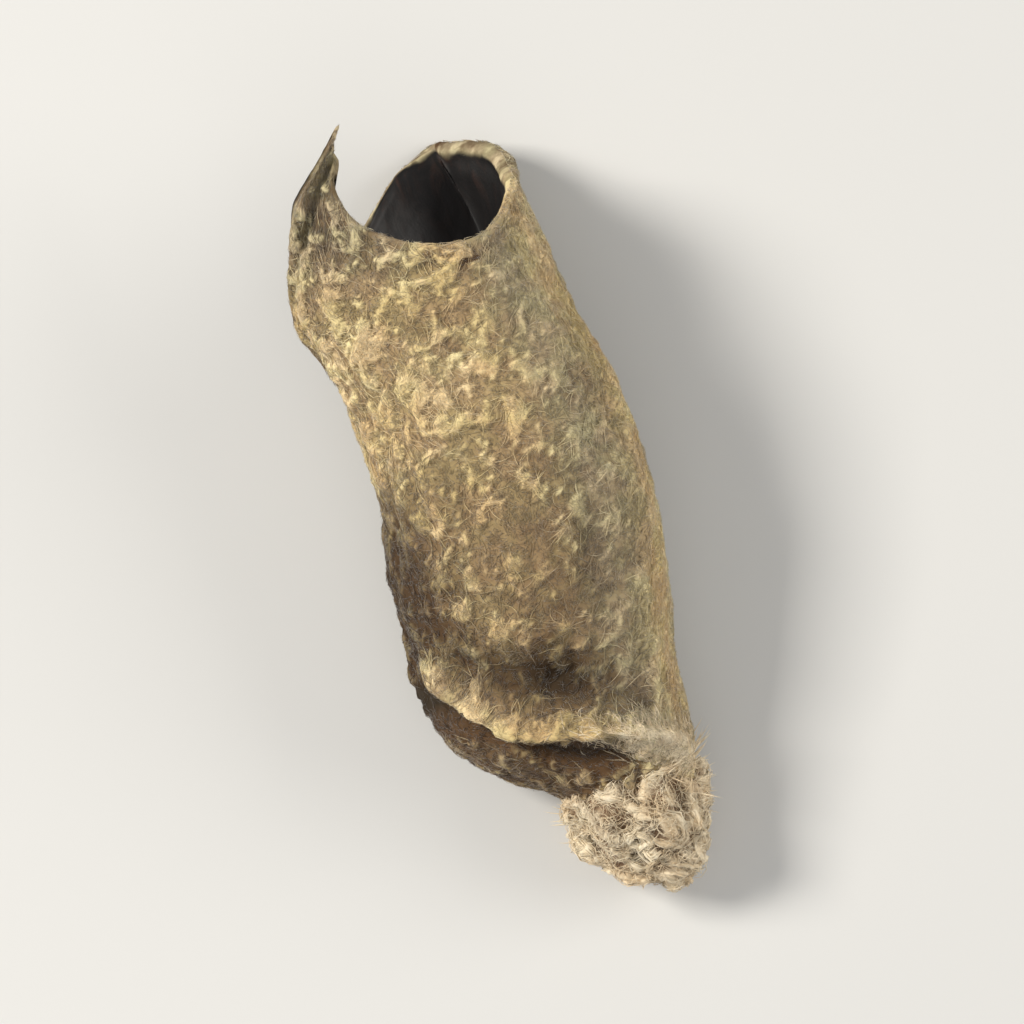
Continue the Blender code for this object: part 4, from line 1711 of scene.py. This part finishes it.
    def map(self, rows: int, around: int, rung: Array) -> list[Array]:
        """Lays the wall out flat for baking: faces side by side, the two caps as strips below and above.

        Args:
            rows: Rows of points.
            around: Points in each row, over both faces.
            rung: Numbers of the quads in a cap.

        Returns:
            Places on the map for the corners of the faces and of each cap.
        """
        width = 1 - 2 * MAP_GAP
        height = 1 - 2 * self.map_edge
        corners = quad_places(rows - 1, around) / np.array([around, rows - 1])
        main = np.array([MAP_GAP, self.map_edge]) + np.array([width, height]) * corners
        across = MAP_GAP + width * np.stack([rung, rung + 1, rung + 1, rung], axis=-1) / len(rung)
        upward = np.tile([0.0, 0.0, self.cap_height, self.cap_height], (len(rung), 1))
        return [main, *(np.stack([across, upward + level], axis=-1) for level in self.cap_levels)]

    def weld(self, made: Piece) -> None:
        """Joins the points of both faces where they meet at the rounded free edges.

        Args:
            made: The wall.
        """
        mesh = bmesh.new()
        mesh.from_mesh(made.data)
        bmesh.ops.remove_doubles(mesh, verts=mesh.verts, dist=self.weld_reach)
        mesh.to_mesh(made.data)
        mesh.free()


@dataclass
class Felt:
    """The hairs of the outer face: a short nap that leans into clumps, and longer curls matted over it."""

    skin: Skin
    nap: Strand = Strand(
        count=46000, lengths=(0.16, 0.34), radius=0.0105, points=2, sides=3, seed=101,
        lay=Lay.TO_CREST, spread=0.75, stand=0.085,
    )
    curls: Strand = Strand(
        count=4200, lengths=(0.40, 0.90), radius=0.0130, points=6, sides=3, seed=111,
        lay=Lay.ON_CREST, spread=0.6, lift=0.035, stand=0.03, curl=1.5,
    )
    nap_clumped: float = 0.2
    curls_clumped: float = 0.85
    sets: int = 2
    hollow_loss: float = 0.6
    wear_and_shade_loss: float = 0.35
    least: float = 0.1

    def weight(self, clumped: float) -> Array:
        """Says how dense the hairs are at each grid point.

        Args:
            clumped: Share of their density that follows the clumps.

        Returns:
            The density there.
        """
        masks = self.skin.masks
        thin = 1 - self.hollow_loss * masks["hollow"] - self.wear_and_shade_loss * masks["bare"]
        return np.clip(thin, self.least, 1) * (1 - clumped + clumped * masks["clump"])

    def build(self) -> list[Piece]:
        """Grows every kind of hair, each in several sets of their own.

        Returns:
            The pieces.
        """
        material = HairFinish().make()
        kinds = (("nap", self.nap, self.nap_clumped), ("curls", self.curls, self.curls_clumped))
        made = []
        for name, kind, clumped in kinds:
            for index in range(self.sets):
                each = replace(kind, seed=kind.seed + index)
                made.append(each.grow(f"{name}_{index}", self.skin, self.weight(clumped), material))
        return made


@dataclass
class Foot:
    """The torn foot: a lumpy core, thick curled cords of fibre, looser fibres over them and torn tufts."""

    form: FootForm
    rest: Rest
    rows: int = 90
    columns: int = 130
    clump_size: float = 0.70
    clump_seed: int = 61
    clump_height: float = 0.20
    grit: Grain = Grain(strength=0.03, size=0.15, seed=63)
    relief_top: Span = (3.2, 4.2)
    shrink: float = 0.12
    neck_shrink: float = 0.32
    neck_heights: Span = (3.0, 3.7)
    fibre_heights: Span = (2.9, 3.9)
    # painted shade up at the neck, and on the core between its lumps
    deep_share: float = 0.9
    deep_heights: Span = (3.2, 4.0)
    core_deep: float = 0.85
    core_deep_heights: Span = (3.1, 4.1)
    core_tone: float = 0.3
    map_height: float = 0.80
    cap_radius: float = 0.07
    cap_places: tuple[Span, Span] = ((0.2, 0.91), (0.6, 0.91))
    cords: Strand = Strand(
        count=105, lengths=(1.1, 2.2), radius=0.086, points=15, sides=6, seed=221,
        spread=1.2, lift=0.24, curl=3.4, taper=5, sink=1.1,
    )
    cord_tones: Span = (0.35, 0.8)
    tone_seed: int = 231
    radius_seed: int = 233
    stoutness: Span = (0.45, 1.2)
    swell: float = 0.25
    swell_waves: float = 11
    fibres_each: int = 15
    fibre_sides: int = 3
    fibre_every: int = 2  # a fibre takes every second point of its cord
    fibre_radius: float = 0.0145
    fibre_turn: float = 1.4
    fibre_wave: float = 0.04
    fibre_waves: Span = (8, 20)
    fibre_looseness: Span = (-0.01, 0.09)
    fibre_narrowing: Span = (0.4, 5)
    fibre_taper: float = 6
    fibre_floor: float = 0.02
    fibre_seed: int = 232
    curls: Strand = Strand(
        count=1500, lengths=(0.5, 1.3), radius=0.013, points=8, sides=3, seed=202,
        spread=1.0, lift=0.17, stand=0.06, curl=5.0,
    )
    fuzz: Strand = Strand(
        count=2200, lengths=(0.12, 0.34), radius=0.008, points=3, sides=3, seed=203,
        spread=1.0, stand=0.13, curl=0.8,
    )
    beard: Strand = Strand(
        count=1500, lengths=(0.30, 0.75), radius=0.013, points=6, sides=3, seed=204,
        lay=Lay.UPWARD, spread=0.6, lift=0.035, stand=0.015, curl=1.0,
    )
    tuft_fibres: int = 34
    tuft_points: int = 7
    tuft_sides: int = 4
    tuft_taper: int = 2
    tuft_fibre_radius: float = 0.030
    tuft_spread: float = 0.45
    tuft_fan: float = 0.28
    tuft_lengths: Span = (0.55, 1.05)
    tuft_bends: Span = (0.4, 1.3)
    tuft_wave: float = 0.05
    tuft_waves: Span = (3, 8)
    tuft_floor: float = 0.04
    tuft_seed: int = 211

    def __post_init__(self) -> None:
        """Shapes the core."""
        turn = np.linspace(0, 2 * math.pi, self.columns, endpoint=False)
        height = np.linspace(0, self.form.outline[-1][0], self.rows)
        turn, self.height = np.meshgrid(turn, height)
        smooth = self.form.points(turn, self.height)
        normals = normals_of(smooth, wraps=True)
        below = 1 - eased(*self.relief_top, self.height)
        self.clump = clots(smooth, self.clump_size, self.clump_seed)
        relief = self.clump_height * (self.clump - 0.5) + self.grit.read(smooth)
        sunk = self.neck_shrink * eased(*self.neck_heights, self.height)
        self.core = self.rest.laid(smooth + normals * ((relief - self.shrink) * below - sunk)[..., None])

    def build(self, sheet: Sheet) -> list[Piece]:
        """Builds the core, its cords and fibres, and its tufts.

        Args:
            sheet: The sheet, which the topmost fibres reach up over.

        Returns:
            The pieces.
        """
        finish = FootFinish().make()
        masks = {"clump": self.clump, "deep": self.deep_share * eased(*self.deep_heights, self.height)}
        skin = Skin(self.core, normals_of(self.core, wraps=True), masks, wraps=True)
        weight = 1 - eased(*self.fibre_heights, self.height)
        lines, _, normals = self.cords.lines(skin, weight)
        felt = sheet.skin()
        felt.masks = {"clump": sheet.masks["clump"], "deep": np.zeros_like(sheet.up)}
        return [
            self.build_core(finish),
            self.build_cords(lines, normals, finish),
            self.build_cord_fibres(lines, normals, finish),
            self.curls.grow("foot_curls", skin, weight, finish),
            self.fuzz.grow("foot_fuzz", skin, weight, finish),
            self.beard.grow("foot_beard", felt, sheet.where("beard"), finish),
            self.build_tufts(finish),
        ]

    def build_core(self, finish: Material) -> Piece:
        """Builds the core as one closed mesh, with painted shade where it shows between the cords and up at
        the neck.

        Args:
            finish: The foot's material.

        Returns:
            The piece.
        """
        low = np.arange(self.columns)[::-1][None]
        high = (np.arange(self.columns) + (self.rows - 1) * self.columns)[None]
        faces = [grid_faces(self.rows, self.columns, True), low, high]
        corners = quad_places(self.rows - 1, self.columns) / np.array([self.columns, self.rows - 1])
        main = MAP_GAP + np.array([1 - 2 * MAP_GAP, self.map_height]) * corners
        turn = np.linspace(0, 2 * math.pi, self.columns, endpoint=False)
        disc = self.cap_radius * np.stack([np.cos(turn), np.sin(turn)], axis=-1)
        below, above = self.cap_places
        caps = [(disc[::-1] + below)[None], (disc + above)[None]]
        # painted shade between the lumps and up at the neck
        deep = self.core_deep * (1 - self.clump) + eased(*self.core_deep_heights, self.height)
        masks = {"deep": np.clip(deep, 0, 1), "tone": np.full_like(self.clump, self.core_tone)}
        return MeshData(self.core.reshape(-1, 3), faces, [main, *caps], masks).make("foot_core", finish)

    def cord_radii(self) -> Array:
        """Gives each cord's radius along it: some are stout and some thin, and all swell and narrow.

        Returns:
            Shares of the cords' usual radius, in a row for each cord.
        """
        dice = np.random.default_rng(self.radius_seed)
        stout = dice.uniform(*self.stoutness, (self.cords.count, 1))
        phase = dice.uniform(*PHASES, (self.cords.count, 1))
        wave = np.sin(np.linspace(0, self.swell_waves, self.cords.points) + phase)
        return stout * (1 + self.swell * wave)

    def build_cords(self, lines: Array, normals: Array, finish: Material) -> Piece:
        """Builds the curled cords.

        Args:
            lines: Points of each cord.
            normals: The core's normals under them.
            finish: The foot's material.

        Returns:
            The piece.
        """
        tone = np.random.default_rng(self.tone_seed).uniform(*self.cord_tones, len(lines))
        radii = self.cords.profile() * self.cord_radii()
        return fibres(lines, normals, radii, self.cords.sides, tone).make("foot_cords", finish)

    def build_cord_fibres(self, lines: Array, normals: Array, finish: Material) -> Piece:
        """Builds the fibres that make up the surface of each cord, loosening towards its end.

        Args:
            lines: Points of each cord.
            normals: The core's normals under them.
            finish: The foot's material.

        Returns:
            The piece.
        """
        dice = np.random.default_rng(self.fibre_seed)
        count, steps = lines.shape[:2]
        share = np.linspace(0, 1, steps)
        way = unit(np.gradient(lines, axis=1))
        side = unit(np.cross(way, normals))
        top = np.cross(side, way)
        narrowing, power = self.fibre_narrowing
        surface = self.cords.radius * self.cord_radii() * (1 - narrowing * share**power)
        bundle = []
        for _ in range(self.fibres_each):
            turn = dice.uniform(0, 2 * math.pi, (count, 1))
            turn = turn + dice.normal(0, self.fibre_turn, (count, 1)) * share
            wave = np.sin(share * dice.uniform(*self.fibre_waves, (count, 1)) + turn)
            out = surface + self.fibre_wave * wave
            out = out + dice.uniform(*self.fibre_looseness, (count, 1)) * share
            around = np.cos(turn)[..., None] * side + np.sin(turn)[..., None] * top
            bundle.append(lines + around * out[..., None])
        threads = np.concatenate(bundle)[:, :: self.fibre_every]
        threads[..., 2] = np.maximum(threads[..., 2], self.fibre_floor)
        aims = np.tile(normals[:, :: self.fibre_every], (self.fibres_each, 1, 1))
        radii = self.fibre_radius * (1 - np.linspace(0, 1, threads.shape[1]) ** self.fibre_taper)
        tone = dice.random(len(threads))
        return fibres(threads, aims, radii, self.fibre_sides, tone).make("foot_cord_fibres", finish)

    def build_tufts(self, finish: Material) -> Piece:
        """Builds the torn tufts, each a fan of fibres.

        Args:
            finish: The foot's material.

        Returns:
            The piece.
        """
        dice = np.random.default_rng(self.tuft_seed)
        lines, aims = [], []
        share = np.linspace(0, 1, self.tuft_points)[:, None]
        upward = np.array([0.0, 1.0, 0.0])
        for angle, height, length, rise in self.form.tufts:
            turn = math.radians(angle)
            out = np.array([-math.cos(turn), 0.0, math.sin(turn)])
            aside = np.array([math.sin(turn), 0.0, math.cos(turn)])
            for _ in range(self.tuft_fibres):
                spread = dice.normal(0, self.tuft_spread, 2) * self.form.tuft_radius
                fan = dice.normal(0, self.tuft_fan, 2)
                reach = (self.form.tuft_buried + length) * dice.uniform(*self.tuft_lengths)
                root = np.array([self.form.tuft_centre, height, 0.0]) + self.form.tuft_root * out
                root = root + spread[0] * aside + spread[1] * upward
                bend = rise * dice.uniform(*self.tuft_bends)
                waves = share * dice.uniform(*self.tuft_waves) + dice.uniform(*PHASES)
                wave = self.tuft_wave * np.sin(waves)
                line = root + reach * share * out + (fan[0] * share + wave) * aside
                lines.append(line + (fan[1] * share + bend * share * share) * upward)
                aims.append(np.cross(out, upward) + 0 * share)
        laid = self.rest.laid(np.array(lines))
        laid[..., 2] = np.maximum(laid[..., 2], self.tuft_floor)
        radii = self.tuft_fibre_radius * (1 - share[:, 0] ** self.tuft_taper)
        tone = dice.random(len(lines))
        return fibres(laid, np.array(aims), radii, self.tuft_sides, tone).make("torn_tufts", finish)


# ---------------------------------------------------------------- the studio


def aimed(name: str, data: bpy.types.ID, target: Vector, turn: float, rise: float, distance: float) -> Piece:
    """Puts a lamp or a camera round the ear, facing it.

    Args:
        name: Its name.
        data: The lamp or camera.
        target: What it faces.
        turn: Where it stands round the ear, in degrees; 0 is on the foot's side.
        rise: How high, in degrees.
        distance: How far away.

    Returns:
        The object.
    """
    turn, rise = math.radians(turn), math.radians(rise)
    back = Vector((math.sin(turn) * math.cos(rise), -math.cos(turn) * math.cos(rise), math.sin(rise)))
    made = placed(name, data)
    made.location = target + back * distance
    made.rotation_euler = back.to_track_quat("Z", "Y").to_euler()
    return made


@dataclass(frozen=True)
class Lamp:
    """A soft square light, aimed at the ear."""

    name: str
    azimuth: float
    elevation: float
    distance: float
    size: float
    power: float
    colour: Colour

    def make(self, target: Vector) -> None:
        """Makes the light.

        Args:
            target: What it is aimed at.
        """
        data = bpy.data.lights.new(self.name, "AREA")
        data.shape = "SQUARE"
        data.size = self.size
        data.energy = self.power
        data.color = self.colour
        aimed(self.name, data, target, self.azimuth, self.elevation, self.distance)


@dataclass(frozen=True)
class Studio:
    """Pale floor, soft light, and the camera that looks down on the ear as the photograph does."""

    floor_size: float = 1.2
    floor_squares: int = 8
    floor_colour: Colour = (0.67, 0.665, 0.65)
    floor_roughness: float = 0.75
    azimuth: float = -18.7
    elevation: float = 81.0
    view_width: float = 27.0 * MM
    distance: float = 0.45
    sensor: float = 36.0
    nearest: float = 0.01
    sky: Colour = (0.93, 0.96, 1.0)
    sky_strength: float = 0.30
    lamps: tuple[Lamp, ...] = (
        Lamp(
            "key", azimuth=-118, elevation=44, distance=0.24,
            size=0.08, power=0.58, colour=(1.0, 0.96, 0.89),
        ),
        Lamp(
            "fill", azimuth=78, elevation=30, distance=0.26,
            size=0.16, power=0.34, colour=(1.0, 0.97, 0.91),
        ),
        Lamp(
            "front", azimuth=-10, elevation=55, distance=0.30,
            size=0.20, power=0.10, colour=(1.0, 0.98, 0.95),
        ),
    )

    def build(self) -> None:
        """Builds the floor, the lights and the camera."""
        self.build_floor()
        low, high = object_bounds()
        middle = (low + high) / 2
        for lamp in self.lamps:
            lamp.make(middle)
        self.build_sky()
        self.build_camera(middle)

    def build_floor(self) -> None:
        """Builds the floor as one broad flat sheet."""
        mesh = bpy.data.meshes.new("floor")
        grid = bmesh.new()
        squares = self.floor_squares
        bmesh.ops.create_grid(grid, x_segments=squares, y_segments=squares, size=self.floor_size / 2)
        grid.to_mesh(mesh)
        grid.free()
        material, graph, shader = new_material("pale_floor")
        graph.feed(shader, {"Base Color": self.floor_colour, "Roughness": self.floor_roughness})
        mesh.materials.append(material)
        floor = placed("floor", mesh)
        floor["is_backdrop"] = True

    def build_sky(self) -> None:
        """Sets an even pale surround."""
        world = bpy.data.worlds.new("surround")
        bpy.context.scene.world = world
        world.use_nodes = True
        background = world.node_tree.nodes["Background"]
        Graph(world.node_tree).feed(background, {"Color": self.sky, "Strength": self.sky_strength})

    def build_camera(self, target: Vector) -> None:
        """Places the camera, square to the ear's length, with a long lens.

        Args:
            target: What it looks at.
        """
        data = bpy.data.cameras.new("camera")
        data.sensor_width = self.sensor
        data.lens = self.sensor * self.distance / self.view_width
        data.clip_start = self.nearest
        camera = aimed("camera", data, target, self.azimuth, self.elevation, self.distance)
        bpy.context.scene.camera = camera
        bpy.context.scene.view_settings.view_transform = "Standard"


def main() -> None:
    """Builds the ear and the studio."""
    logging.basicConfig(level=logging.INFO, format="%(name)s: %(message)s")
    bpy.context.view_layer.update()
    roll, knob = RollForm(), FootForm()
    rest = Rest.on_solid(roll, knob)
    sheet = Sheet(roll, rest)
    wall = sheet.build()
    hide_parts(NODE)
    for piece in (wall, *Felt(sheet.skin()).build(), *Foot(knob, rest).build(sheet)):
        triangles = sum(len(face.vertices) - 2 for face in piece.data.polygons)
        log.info("%s: %d triangles", piece.name, triangles)
    Studio().build()
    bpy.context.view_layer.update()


if __name__ == "__main__":
    main()
